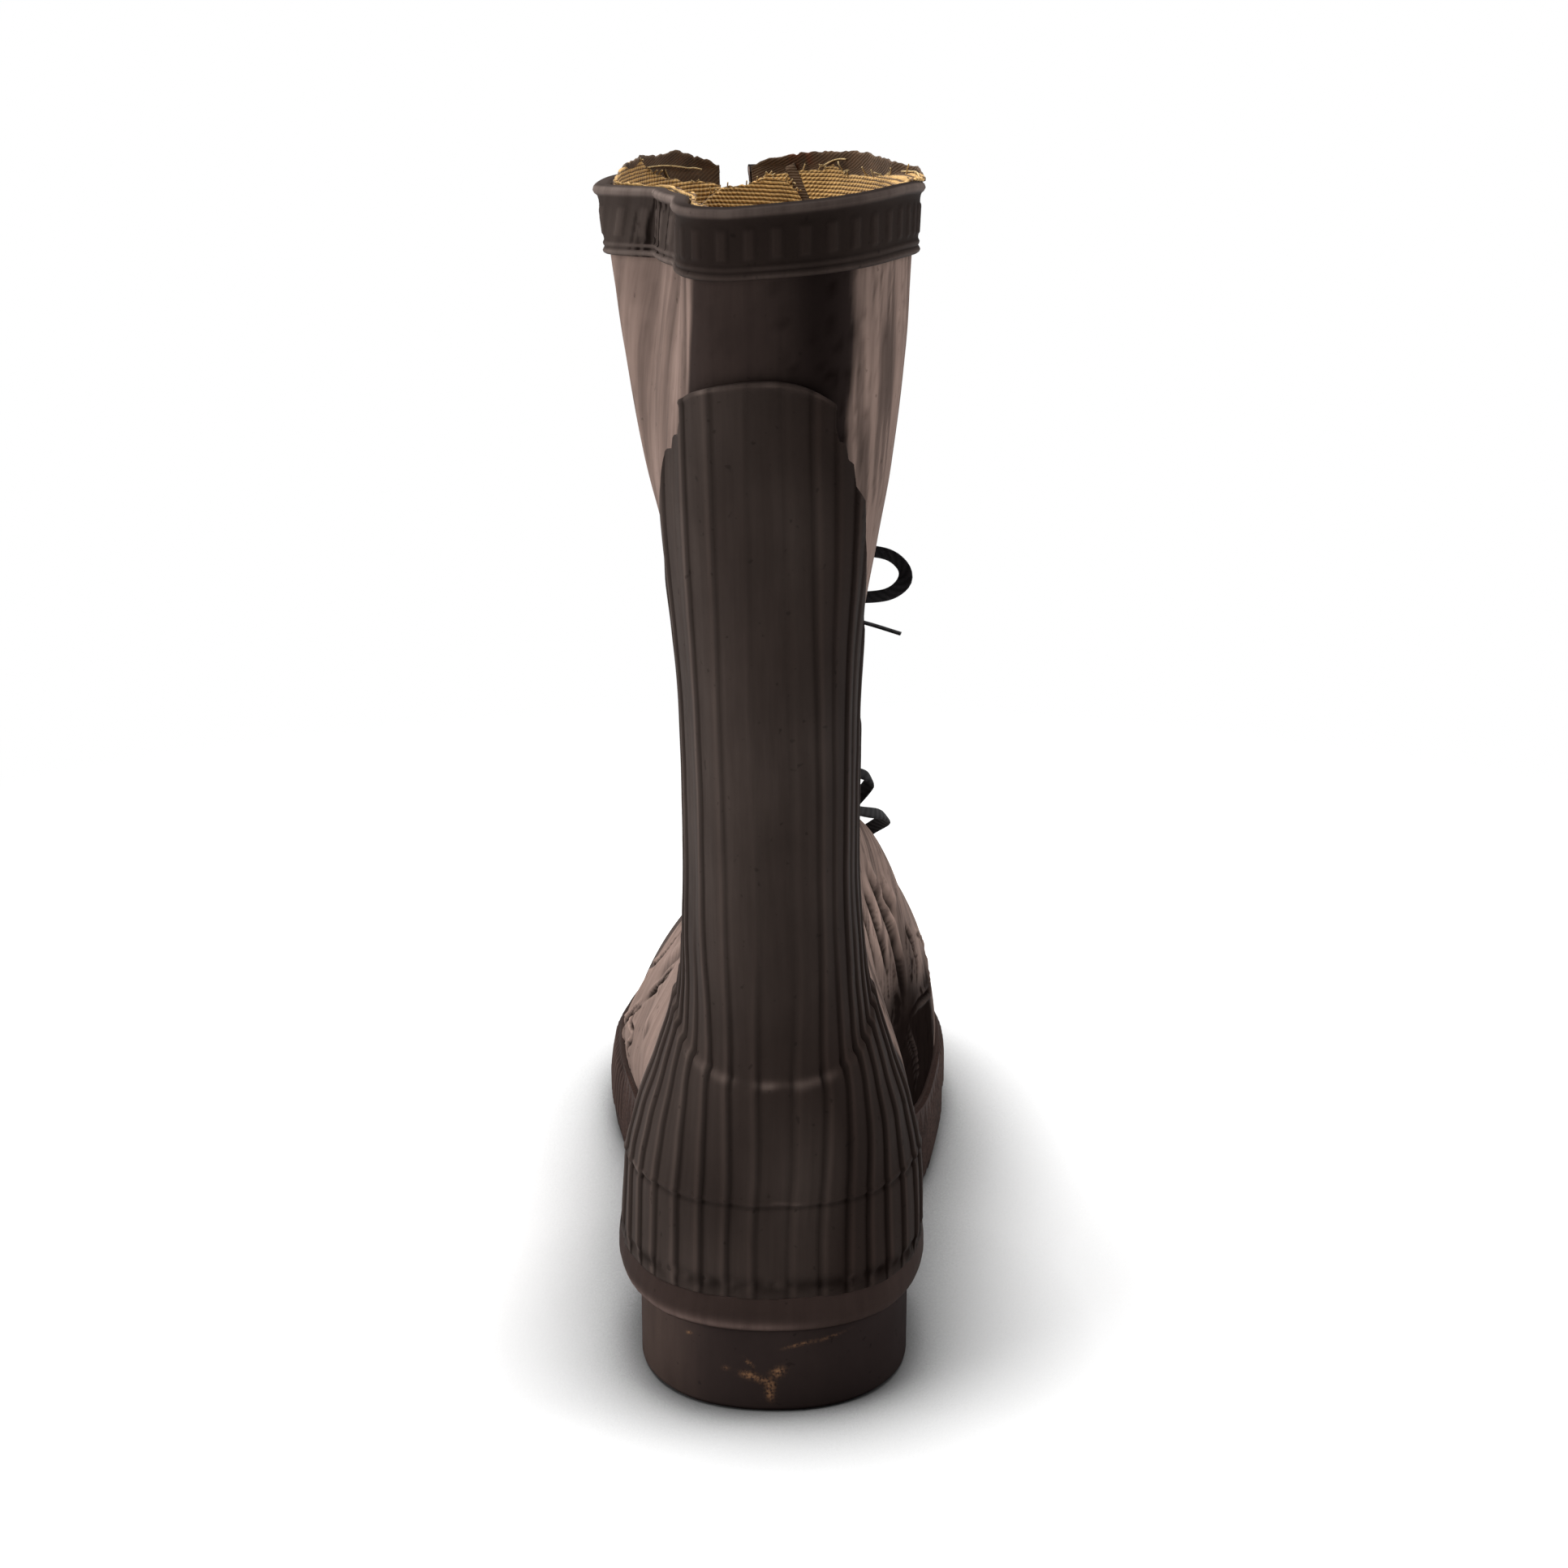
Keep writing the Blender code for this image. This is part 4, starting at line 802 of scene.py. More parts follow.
# ---------------------------------------------------------------- pieces
WALL = 2.6
COLLAR = 336.0
VAMP_STEP, VAMP_UNDER, FEATHER_LIFT = 0.8, 9.0, 0.3
EYELET_HEIGHTS = (118.0, 140.0, 162.0, 184.0, 206.0)
HOOK_HEIGHTS = (235.0, 261.0, 287.0)
EYELET_FROM_EDGE = 8.0
KNOT_HEIGHT, KNOT_OFFSET = 214.0, 8.0
KNOT_TURNS, KNOT_LENGTH, KNOT_CORE = 2.2, 9.0, (6.6, 2.9, 3.4)


def front_point(height, far, offset):
    """A point beside the front centre line, and the way straight out of the boot there."""
    v = front_row(height)
    point, out = SKIN.at([v], [SKIN.from_front(v, far if far else 1e-6)], offset)
    return point[0], out[0]


ROOM_LIGHT = 0.10
# The floor glows softly away into the background between these distances, in metres, and a
# contact shadow is painted into its colour from the ambient occlusion of what stands on it within these reaches.
FLOOR_GLOWS = (0.22, 0.62)
FLOOR_NEAR, FLOOR_WIDE = 0.06, 0.2
CAMERA_PLACE, CAMERA_PITCH, CAMERA_TURN = (-0.0072, -0.8424, 0.396), -16.87, -0.6
CAMERA_LENS, CAMERA_SENSOR = 62.57, 36.0
LIGHTS = table(
    "name place target width height power",
    ("overhead", (-0.25, 0.35, 2.2), (0, 0, 0.0), 2.0, 2.0, 78),
    ("left_wall", (-1.5, -0.6, 0.9), (0, 0, 0.15), 1.3, 1.3, 22),
    ("right_wall", (1.4, 0.1, 0.9), (0, 0, 0.2), 0.9, 1.2, 13),
)


class BOOT_OT_stage(bpy.types.Operator):
    """Pale floor, soft studio lights and the camera behind the boot"""

    bl_idname = "boot.stage"
    bl_label = "Stage"

    def execute(self, context):
        scene = context.scene
        bm = bmesh.new()
        bmesh.ops.create_grid(bm, x_segments=4, y_segments=4, size=6.0)
        mesh = as_mesh("floor", bm)
        floor = bpy.data.objects.new("floor", mesh)
        scene.collection.objects.link(floor)
        material, tree = new_material("pale paper sweep")
        place = add(tree, "TexCoord").outputs["Object"]
        far = add(tree, "VectorMath", {0: place}, operation="LENGTH").outputs["Value"]
        glows = {"Value": far, "From Min": FLOOR_GLOWS[0], "From Max": FLOOR_GLOWS[1]}
        away = add(tree, "MapRange", glows, interpolation_type="SMOOTHSTEP")
        # Painted contact shadow: the paper's colour darkens by ambient occlusion near the boot.
        near = add(tree, "AmbientOcclusion", {"Distance": FLOOR_NEAR}, samples=4).outputs["AO"]
        wide = add(tree, "AmbientOcclusion", {"Distance": FLOOR_WIDE}, samples=3).outputs["AO"]
        stops = (0.42, 0.08), (0.62, 0.42), (0.82, 0.78), (0.96, 0.9)
        near = add(tree, "ValToRGB", {"Fac": near}, stops).outputs[0]
        wide = add(tree, "ValToRGB", {"Fac": wide}, ((0.45, 0.62), (0.97, 1.0))).outputs[0]
        soft = add(tree, "Mix", {"Factor": 1.0, "A": near, "B": wide}, **MULTIPLIED).outputs["Result"]
        paper = add(tree, "BsdfPrincipled", {"Base Color": soft, "Roughness": 0.9})
        glow = add(tree, "Emission", {"Color": (1, 1, 1, 1), "Strength": 1.0})
        seen = add(tree, "LightPath").outputs["Is Camera Ray"]
        faded = add(tree, "Math", {0: away.outputs["Result"], 1: seen}, operation="MULTIPLY").outputs[0]
        swept = add(tree, "MixShader", {0: faded, 1: paper.outputs[0], 2: glow.outputs[0]})
        add(tree, "OutputMaterial", {"Surface": swept.outputs[0]})
        mesh.materials.append(material)
        scene.view_settings.view_transform = "Standard"
        world = bpy.data.worlds.new("studio")
        world.use_nodes = True
        tree = world.node_tree
        tree.nodes.clear()
        seen = add(tree, "LightPath").outputs["Is Camera Ray"]
        strength = add(tree, "MapRange", {"Value": seen, "To Min": ROOM_LIGHT, "To Max": 1.0})
        background = add(tree, "Background", {"Color": (1, 1, 1, 1), "Strength": strength.outputs[0]})
        add(tree, "OutputWorld", {"Surface": background.outputs[0]})
        scene.world = world
        for row in LIGHTS:
            light = bpy.data.lights.new(row.name, "AREA")
            light.shape = "RECTANGLE"
            light.size, light.size_y, light.energy = row.width, row.height, row.power
            lamp = bpy.data.objects.new(row.name, light)
            lamp.location = row.place
            aim = Vector(row.target) - Vector(row.place)
            lamp.rotation_euler = aim.to_track_quat("-Z", "Y").to_euler()
            scene.collection.objects.link(lamp)
        camera = bpy.data.cameras.new("camera")
        camera.lens, camera.sensor_width = CAMERA_LENS, CAMERA_SENSOR
        camera.clip_start, camera.clip_end = 0.05, 50
        eye = bpy.data.objects.new("camera", camera)
        eye.location = CAMERA_PLACE
        eye.rotation_euler = (math.radians(90 + CAMERA_PITCH), 0, math.radians(CAMERA_TURN))
        scene.collection.objects.link(eye)
        scene.camera = eye
        return {"FINISHED"}


class BOOT_OT_bow(bpy.types.Operator):
    """The flat lace's knot, two loops and two ends"""

    bl_idname = "boot.bow"
    bl_label = "Bow"

    def execute(self, context):
        middle, _ = front_point(KNOT_HEIGHT, 0.0, KNOT_OFFSET)
        turns = np.linspace(0, 2 * math.pi * KNOT_TURNS, 60)
        across = turns / turns[-1] * KNOT_LENGTH - KNOT_LENGTH / 2
        wrap = np.column_stack([across, 3.2 * np.cos(turns), 3.6 * np.sin(turns)])
        wrap[:, 2] *= 1 + 0.1 * np.sin(1.7 * turns)
        wrap_out = np.column_stack([np.zeros(len(turns)), np.cos(turns), np.sin(turns)])
        knot = ribbon("lace_knot", wrap + middle, wrap_out, chosen("lace_width"), chosen("lace_thickness") * 1.6)
        core = bmesh.new()
        bmesh.ops.create_uvsphere(core, u_segments=24, v_segments=16, radius=1.0)
        bmesh.ops.scale(core, vec=Vector(KNOT_CORE) * MM, verts=core.verts)
        bmesh.ops.translate(core, vec=Vector(in_frame(middle)), verts=core.verts)
        ball = as_mesh("core", core)
        ball.uv_layers.new(name="surface")
        knot = finish_piece("bow_knot", joined("bow_knot", [knot, ball]), finish("lace"), ["lace_knot"])
        for name, points in BOW.items():
            route = lace_route(np.array(points) + middle, 1.2)
            shown = name.replace("lace", "bow")
            mesh = ribbon(shown, route, BOW_FACES[name], chosen("lace_width"), chosen("lace_thickness"))
            piece = finish_piece(shown, mesh, finish("lace"), [name])
            path = in_frame(route)
            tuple(path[0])
            chosen("lace_width") * MM
        return {"FINISHED"}


# ---------------------------------------------------------------- the upper's skins
def hemmed(shares, steps=(0.35, 0.7, 1.0)):
    """Shares from -1 to 1 with a few more beyond both ends, where the edge turns in."""
    beyond = [1 + step for step in steps]
    return np.concatenate([[-b for b in reversed(beyond)], shares, beyond])


def turn_in(u, thickness):
    """How far a skin's edge has turned in at a column beyond -1 or 1."""
    return -thickness * np.clip(np.abs(u) - 1, 0, 1)


def spread(dense_from, coarse, dense):
    """Shares from -1 to 1, coarse in the middle, which another piece covers, and dense beyond."""
    half = np.concatenate([np.linspace(0, dense_from, coarse, endpoint=False), np.linspace(dense_from, 1, dense)])
    return np.concatenate([-half[:0:-1], half])


def quarters(u, v):
    """The quarters' corners: u goes round from side to side and v up the rows."""
    share = np.clip(u, -1, 1)
    distance = share * (SKIN.length(v, share) - edge_of(v, np.sign(u)))
    base, out = SKIN.at(v, distance)
    relief, shade = quarter_relief(base, distance, v, share)
    points = base + out * (relief + turn_in(u, WALL))[:, None]
    points[v == 0, 2] += FEATHER_LIFT
    # Less bloom where the painted shade is deepest.
    bloom = quarter_bloom_and_painted_shadow(base, distance) * (1 - 0.7 * ease((0.3, 0.0), shade))
    return points, np.column_stack([distance, base[:, 2]]), {"bloom": bloom, "relief": np.clip(shade, 0, 1)}


def vamp(u, v):
    """The vamp's corners: u goes across the foot and v up the rows."""
    far = u * (edge_of(v) + VAMP_UNDER)
    distance = SKIN.from_front(v, np.where(far == 0, 1e-6, far))
    base, out = SKIN.at(v, distance)
    relief = vamp_relief(base, far)
    points = base + out * (relief - VAMP_STEP)[:, None]
    points[v == 0, 2] += FEATHER_LIFT
    # Painted shade in the trough where the toes bend and in the low places, painted highlight on the high ones.
    shade = np.clip(0.5 + relief * 0.35, 0, 1)
    bloom = 0.15 + 0.2 * np.clip(lumps(base, 18.0, 5), 0, 1)
    return points, np.column_stack([far, base[:, 1]]), {"bloom": bloom, "relief": shade}


class BOOT_OT_upper(bpy.types.Operator):
    """The quarters with the shaft, which close over the vamp, and the vamp under them"""

    bl_idname = "boot.upper"
    bl_label = "Upper"

    def execute(self, context):
        rows = np.concatenate([np.linspace(0, 9, 200, endpoint=False), np.linspace(9, len(SLICES) - 1, 110)])
        mesh = sheet("quarters", hemmed(spread(0.12, 8, 130)), rows, quarters)
        finish_piece("quarters", mesh, finish("upper"), ["upper"])

        rows = np.linspace(0, THROAT_ROW + 0.35, 130)
        mesh = sheet("vamp", np.linspace(1, -1, 201), rows, vamp)
        finish_piece("vamp", mesh, finish("upper"))
        return {"FINISHED"}


TOE_BEND = 196
# Where the slack rubber sags: over the waist on the lateral side, and over the ball on both.
# Each has the spans along the boot in which it sets in and dies out, its height, its reach up
# and down, and its share on the medial side.
SAGS = table(
    "deep starts ends height reach medial",
    (5.4, (84, 112), (172, 136), 57, 18, 0.0),
    (2.4, (138, 172), (252, 214), 37, 13, 0.3),
)
# Upright hollows in the slack shaft, on its lateral side, painted darker inside as shade.
HOLLOWS = table("distance width share", (-30, 3.0, 1.0), (-47, 3.6, 0.9), (-66, 4, 0.7))
SHAFT_SLACK = (200, 270)
# The painted shadow low on the medial side: how high it ends and fades, and where along the
# boot it sets in and dies out. The dusty lobe lies over it at a place along and from a height up.
SHADOW_TOP, SHADOW_FADE, SHADOW_STARTS, SHADOW_ENDS = 108, 44, (40, 100), (214, 184)
LOBE_ALONG, LOBE_WIDTH, LOBE_STARTS, LOBE_HEIGHTS = 184, 22, (141, 152), (56, 72)

# Creases in the quarters: each a soft trough with a ridge beside it, on the lateral (-1) or the
# medial (1) side, along a line of places given by how far along the boot and how high they lie.
CREASES = table(
    "side depth width ridge path",
    (-1, 1.5, 1.0, 0.5, ((144, 78), (158, 70), (172, 62), (182, 56), (190, 50))),
    (-1, 1.1, 0.9, 0.5, ((140, 82), (155, 74), (170, 65), (181, 58), (189, 52))),
    (-1, 1.2, 0.8, 0.6, ((190, 51), (199, 42), (206, 36), (208, 30), (203, 27))),
    (-1, 1.1, 0.8, 0.6, ((190, 50), (194, 44), (203, 37), (205, 31), (200, 27))),
    (-1, 1.0, 0.7, 0.7, ((188, 50), (192, 46), (192, 41.5), (183, 42))),
    (-1, 1.1, 0.8, 0.7, ((183, 42), (180, 39.5), (185, 36), (187, 34), (182, 32), (181, 26), (181, 20))),
    (-1, 0.8, 3.0, 0.6, ((150, 72), (154, 64), (157, 56), (160, 50))),
    (-1, 0.7, 2.6, 0.8, ((134, 90), (150, 82), (170, 70), (188, 60))),
    (-1, 0.6, 2.6, 0.6, ((128, 66), (138, 58), (146, 48))),
    (-1, 1.0, 0.8, 0.5, ((170, 92), (194, 67), (206, 58), (217, 51), (219, 45), (222, 39), (218, 34))),
    (1, 1.6, 2.0, 0.8, ((120, 124), (123, 119), (127, 109), (134, 97), (137, 86), (141, 70))),
    (1, 1.8, 2.4, 0.6, ((131, 112), (137, 105), (142, 98))),
    (1, 1.0, 1.8, 0.8, ((112, 120), (117, 108), (122, 96), (126, 84))),
    (1, 0.8, 2.6, 0.6, ((100, 118), (106, 104), (112, 90))),
    (1, 1.0, 0.8, 1.1, ((178, 79), (192, 74), (201, 67), (198, 59), (190, 54), (172, 59), (157, 63), (145, 63.5))),
    (1, 0.8, 0.7, 1.1, ((141, 61), (144, 54), (147.5, 48.5), (149, 41), (146, 34))),
    (1, 1.2, 1.4, 0.8, ((152, 92), (158, 84), (162, 76), (160, 68))),
)


def near_path(path, x, y):
    """The distance to a line of points, positive to its left, and how near its ends that is."""
    best = np.full(len(x), 1e9)
    side = np.zeros(len(x))
    fade = np.zeros(len(x))
    path = np.array(path, float)
    steps = np.linalg.norm(np.diff(path, axis=0), axis=1)
    total = steps.sum()
    gone = 0.0
    for (ax, ay), (bx, by), step in zip(path, path[1:], steps):
        dx, dy = (bx - ax) / step, (by - ay) / step
        t = np.clip((x - ax) * dx + (y - ay) * dy, 0, step)
        far = np.hypot(x - ax - t * dx, y - ay - t * dy)
        turn = np.sign(dx * (y - ay) - dy * (x - ax))
        nearer = far < best
        best = np.where(nearer, far, best)
        side = np.where(nearer, turn, side)
        fade = np.where(nearer, (gone + t) / total, fade)
        gone += step
    return best * side, np.clip(4 * fade, 0, 1) * np.clip(4 * (1 - fade), 0, 1)


def creased(points):
    """How far the creases move the skin, and how near a ridge (or below 0 a trough) it is, a mark for painted
    highlight and painted shade.
    """
    total, mark = np.zeros(len(points)), np.zeros(len(points))
    for crease in CREASES:
        path = np.array(crease.path)
        low, high = path.min(axis=0) - 12, path.max(axis=0) + 12
        near = (points[:, 0] * crease.side > 0) & np.all((points[:, 1:] > low) & (points[:, 1:] < high), axis=1)
        if not near.any():
            continue
        far, strength = near_path(path, *points[near, 1:].T)
        trough = bump(far, 0, crease.width)
        ridge = bump(far, 1.8 * crease.width, crease.width) + 0.5 * bump(far, -1.9 * crease.width, crease.width)
        total[near] += crease.depth * strength * (crease.ridge * ridge - trough)
        # How strong each crease's painted shade and highlight are: more for narrow creases, less on the lateral side.
        dirt_and_crease_shade = min(1.0, 1.4 / crease.width) if crease.side > 0 else min(1.0, 0.7 / crease.width)
        mark[near] += strength * (0.7 * crease.ridge * ridge - 1.2 * trough) * dirt_and_crease_shade
    return total, mark


# Where the pale bloom begins on each side, round from the back centre at each height.
BLOOM_EDGE = table(
    "height lateral medial",
    (30, 60, 90), (80, 56, 80), (120, 46, 50), (200, 40, 36), (262, 34, 22), (280, 27, 22.5),
    (292, 24.5, 24.5), (305, 22, 25.3), (320, 20.5, 26),
)


def quarter_relief(points, distance, v, share):
    """The quarters' relief, and how light or dark it makes them: painted shade and highlight from the relief, and the
    painted shadow low on the medial side.
    """
    relief = 0.3 * lumps(points, 34.0) + 0.1 * lumps(points, 11.0, 2)
    folds, mark = creased(points)
    upright = ease(SHAFT_SLACK, points[:, 2])
    hollow = sum(row.share * bump(distance, row.distance, row.width) for row in HOLLOWS)
    along, height = points[:, 1], points[:, 2]
    sag = 0
    for row in SAGS:
        lies = ease(row.starts, along) * ease(row.ends, along) * bump(height, row.height, row.reach)
        sag += row.deep * lies * np.where(distance < 0, 1.0, row.medial)
    relief += folds - 0.7 * hollow * upright + sag * ease((0.2, 0.85), v)
    lip = SKIN.length(v, share) - edge_of(v, np.sign(share)) - np.abs(distance)
    relief += 0.5 * bump(lip, 1.6, 1.4)
    specks = ease((0.35, 0.7), lumps(points * [1, 1, 0.5], 1.9, 34)) * (0.3 + 0.7 * (distance > 0))
    # Painted shadow low on the medial side, lightened on crease ridges as painted highlight, and darker down the back
    # just to the medial side of its centre.
    dark = medial_shadow(points, distance) * (1 - 0.6 * ease((0.2, 0.7), mark)) + 0.5 * bump(distance, 15, 8) * upright
    # Painted shade in crease troughs, stronger than the painted highlight on their ridges.
    mark = np.where(mark < 0, 0.85, 0.5) * mark
    # Painted shade in the hollows, painted highlight along the front edge's lip, and darker specks of dirt.
    return relief, 0.5 + mark - 0.22 * hollow * upright + 0.25 * bump(lip, 0.3, 0.8) - 0.2 * specks - 0.46 * dark


def medial_shadow(points, distance):
    """How far a point lies in the painted shadow low on the medial side, outside its dusty lobe."""
    along, height = points[:, 1], points[:, 2]
    uneven = 9 * lumps(points, 26.0, 43) + 5 * lumps(points, 8.0, 32)
    shadow = 0.94 * ease((0, 1), (SHADOW_TOP - height + uneven) / SHADOW_FADE) * (distance > 0)
    shadow = shadow * ease(SHADOW_STARTS, along + uneven) * ease(SHADOW_ENDS, along + 0.5 * uneven)
    lobe = bump(along, LOBE_ALONG, LOBE_WIDTH) * ease(LOBE_HEIGHTS, height) * ease(LOBE_STARTS, along)
    return shadow * (1 - np.clip(lobe, 0, 1))


def quarter_bloom_and_painted_shadow(points, distance):
    """Where the upper is pale with dust and bloom: its sides, but not its back, nor the painted shadow low on the
    medial side.
    """
    height, side = points[:, 2], np.sign(distance)
    start = np.where(side < 0, *[straight(BLOOM_EDGE, "height", field, height) for field in SIDES])
    start = start + 0.8 * lumps(points, 14.0, 31)
    bloom = ease((-1.2, 2.4), np.abs(distance) - start)
    streak = flat_lumps(distance, height / 16, 1.5, 35) + 0.7 * flat_lumps(distance, height / 16, 3.6, 36)
    bloom = bloom * (1 - np.where(side > 0, 0.6, 0.16) * ease((-0.3, 0.9), streak))
    # Painted shadow: the bloom is taken away low on the medial side.
    bloom = bloom * (1 - 0.98 * medial_shadow(points, distance))
    brownish = 0.07 * (1 - ease((3, 13), distance)) * (1 + 0.5 * lumps(points, 24.0, 37))
    return np.clip(brownish + (1 - brownish) * bloom, 0, 1)


def vamp_relief(points, far):
    """The vamp's relief: uneven, with one trough across it where the toes bend."""
    return 0.25 * lumps(points, 26.0, 4) + 0.8 * bump(points[:, 1], TOE_BEND, 5) * bump(far, 0, 30) * -1


# ---------------------------------------------------------------- counter, band, sole
# How far round the boot the counter and back stay reach on each side, at each height of the
# back, with the steps where the stay's outer ribs end.
STAY = table(
    "height lateral medial",
    (36, 70, 70), (52, 69, 68), (66, 62, 61), (80, 67, 63), (88, 69, 64), (99, 63, 62), (107, 57, 58),
    (121, 50.5, 53), (140, 50, 49), (184, 50, 46.5), (212, 49, 40), (237, 46.5, 32.5), (252, 43.5, 29.5),
    (258.5, 41.5, 28.2), (260, 41, 25), (266, 40.4, 24), (269, 39.8, 23.6), (270.3, 38.4, 22),
    (271, 34, 21.6), (276, 33, 21), (277.6, 31.5, 20.6), (278.4, 27.6, 18.8), (282, 26.6, 18.2),
    (284, 26, 18),
)
STAY_FOOT, STAY_TOP, STAY_ARCH = 37.5, 291.0, 6.6
STAY_FACE, STAY_HEM, HEM = 1.9, 1.9, (1.0, 0.6, 0.25)
STAY_COLUMN = 0.6
STAY_WIDEST = max(max(row.lateral, row.medial) for row in STAY)
# The skin's columns and rows, each with three at both ends where its edge turns in.
ACROSS = np.concatenate([
    [-STAY_WIDEST] * 3, np.arange(-STAY_WIDEST, STAY_WIDEST + STAY_COLUMN, STAY_COLUMN), [STAY_WIDEST] * 3,
])
UP = np.concatenate([
    [STAY_FOOT] * 3, np.arange(STAY_FOOT, 112, 0.5), np.arange(112, 264, 2.2), np.arange(264, 284.1, 0.8),
    np.linspace(284.6, STAY_TOP, 9), [STAY_TOP] * 3,
])
ACROSS_HEM, UP_HEM = [np.concatenate([HEM, np.zeros(len(line) - 6), HEM[::-1]]) for line in (ACROSS, UP)]

# The ribs: where each starts at the heel and up the shaft, and how far it rises in both.
RIB_FIELDS = "heel shaft low high"
RIBS = {
    -1: table(
        RIB_FIELDS,
        (6.6, 5.1, 0.45, 0.1), (14.3, 14.4, 0.6, 0.45), (21.8, 24.7, 0.75, 0.75),
        (29.5, 31.5, 0.75, 0.05), (37.8, 40.5, 0.8, 0.7), (45.5, 47, 0.85, 0.5), (53.5, 55, 0.8, 0.4),
        (61, 62, 0.7, 0.3),
    ),
    1: table(
        RIB_FIELDS,
        (3.0, 4.3, 0.4, 0.16), (11.6, 11.8, 0.6, 0.5), (19.1, 18, 0.7, 0.35), (26.2, 25, 0.75, 0.7),
        (33, 31, 0.8, 0.35), (41, 38, 0.8, 0.5), (50.6, 46, 0.8, 0.4), (58, 54, 0.7, 0.3),
    ),
}
RIB_FAN = (90.0, 140.0)
LEDGE, CREASE = 94.8, 62.6


def stay_reach(side, height):
    """How far the counter reaches on the side of the sign, at each height of the back."""
    return np.where(side < 0, *[straight(STAY, "height", field, height) for field in SIDES])


def rib_relief(distance, height):
    """How far the ribs rise, and how far into a groove (below 0) or on a ridge a point is, which the
    counter paints as shade and highlight.

    A rib steps up on the side of the back centre, to a ridge, and falls slowly from there.
    """
    rise, place = np.zeros(len(distance)), np.zeros(len(distance))
    up = ease(RIB_FAN, height)
    for side, ribs in RIBS.items():
        far = side * distance
        starts = [rib.heel + (rib.shaft - rib.heel) * up for rib in ribs]
        starts = [start + 0.35 * flat_lumps(start * 9, height, 24.0, i) for i, start in enumerate(starts)]
        for i, rib in enumerate(ribs):
            tall = rib.low + (rib.high - rib.low) * up
            after = far - starts[i]
            room = (starts[i + 1] if i + 1 < len(ribs) else starts[i] + 8) - starts[i]
            fall = 1 - 0.9 * ease((0.0, 1.0), (after - 1.2) / np.maximum(room - 1.4, 0.5))
            inside = (after > -0.5) & (after < room - 0.5)
            rise += np.where(inside, ease((-0.5, 0.5), after) * fall * tall, 0)
            place += tall * (0.9 * bump(after, 1.3, 0.8) - 1.5 * bump(after, -0.5, 0.65))
    return rise, place


def counter(u, v):
    """The counter's corners: u numbers the columns and v the rows."""
    i, j = u.astype(int), v.astype(int)
    level = UP[j]
    side = np.sign(ACROSS[i] + 1e-9)
    inner = np.minimum(np.abs(ACROSS[i]), stay_reach(side, level))
    widest = stay_reach(side, np.full(len(u), 284.0))
    arch = STAY_ARCH * np.clip(inner / widest, 0, 1) ** 2.2
    height = level - arch * ease((262, STAY_TOP), level)
    distance = side * inner
    base, out = SKIN.at(row_of(height), distance)
    rise, place = rib_relief(distance, height)
    cut = np.clip(-place, 0, 1)
    above = ease((-0.9, 0.9), height - LEDGE)
    ledge = 0.5 * bump(height, LEDGE - 1.2, 9) - 1.0 * above * bump(height, LEDGE, 14)
    ledge = ledge - 0.8 * cut * bump(height, LEDGE, 2.2)
    fold = base[:, 2] - CREASE - 0.5 * lumps(base, 9.0, 21)
    crease = 0.4 * bump(fold, 0.9, 0.7) - 0.4 * bump(fold, -0.4, 0.7)
    low_band = 0.5 * ease((0, 1), lumps(base, 3.0, 22) + 0.3) * bump(height, 38.5, 1.4)
    low_band += 0.9 * bump(height, 40.6, 1.3) * np.clip(lumps(base, 2.4, 23), -1, 0.2)
    rise = rise * ease((39.6, 42.6), height + 0.8 * lumps(base, 3.5, 28))
    rim = 0.45 * bump(STAY_TOP - level, 0.7, 0.8)
    soft = 0.22 * lumps(base, 22.0, 3) + 0.06 * lumps(base, 6.0, 4)
    turned_in = STAY_HEM * np.maximum(ACROSS_HEM[i], UP_HEM[j])
    face = STAY_FACE + rise + soft + ledge + crease + low_band + rim - turned_in
    points = base + out * face[:, None]
    # Painted highlights: along the ledge's top, broken where the rib grooves cut it, in dashes on the crease's ridge,
    # and along the stay's top hem.
    broken = ease((-0.5, 0.7), lumps(base, 5.0, 24)) * (0.25 + 0.75 * bump(distance, 2, 24))
    wear_and_highlight = 0.42 * bump(height, LEDGE - 0.4, 1.2) * (1 - cut) * broken
    wear_and_highlight += 0.34 * bump(fold, 0.9, 0.6) * ease((-0.1, 0.5), lumps(base, 5.0, 25)) * ease((16, -4), distance)
    wear_and_highlight += 0.3 * bump(STAY_TOP - level, 0.5, 0.6) * (0.5 + 0.8 * np.clip(lumps(base, 4.0, 26), 0, 1))
    # Painted shade in the crease's trough, and a ragged band darker at the ribs' foot.
    ragged = ease((-0.6, 0.3), lumps(base, 3.0, 27))
    dark = 0.14 * bump(fold, -0.5, 0.6) + 0.34 * bump(height, 40.2, 1.7) * ragged
    # Painted shade in the rib grooves and painted highlight on their ridges, with the painted highlights above; darker
    # where the hem turns in.
    shade = np.clip(0.5 + 0.34 * place + wear_and_highlight - dark - 0.1 * turned_in, 0, 1)
    # The bloom also carries the painted highlights, painted light on the lateral side and painted shade on the medial
    # side.
    bloom = 0.07 + 0.2 * wear_and_highlight + 0.05 * lumps(base, 30.0, 8)
    bloom += 0.04 * ease((8, 30), -distance) - 0.09 * ease((6, 24), distance)
    return points, np.column_stack([distance, height]), {"bloom": np.clip(bloom, 0, 1), "relief": shade}


class BOOT_OT_counter(bpy.types.Operator):
    """The ribbed counter round the heel, with the back stay that runs up from it"""

    bl_idname = "boot.counter"
    bl_label = "Counter and stay"

    def execute(self, context):
        mesh = sheet("counter", np.arange(len(ACROSS)), np.arange(len(UP)), counter)
        weld(mesh, 2e-5)
        finish_piece("counter", mesh, finish("counter"), ["ribbed_counter"])
        return {"FINISHED"}


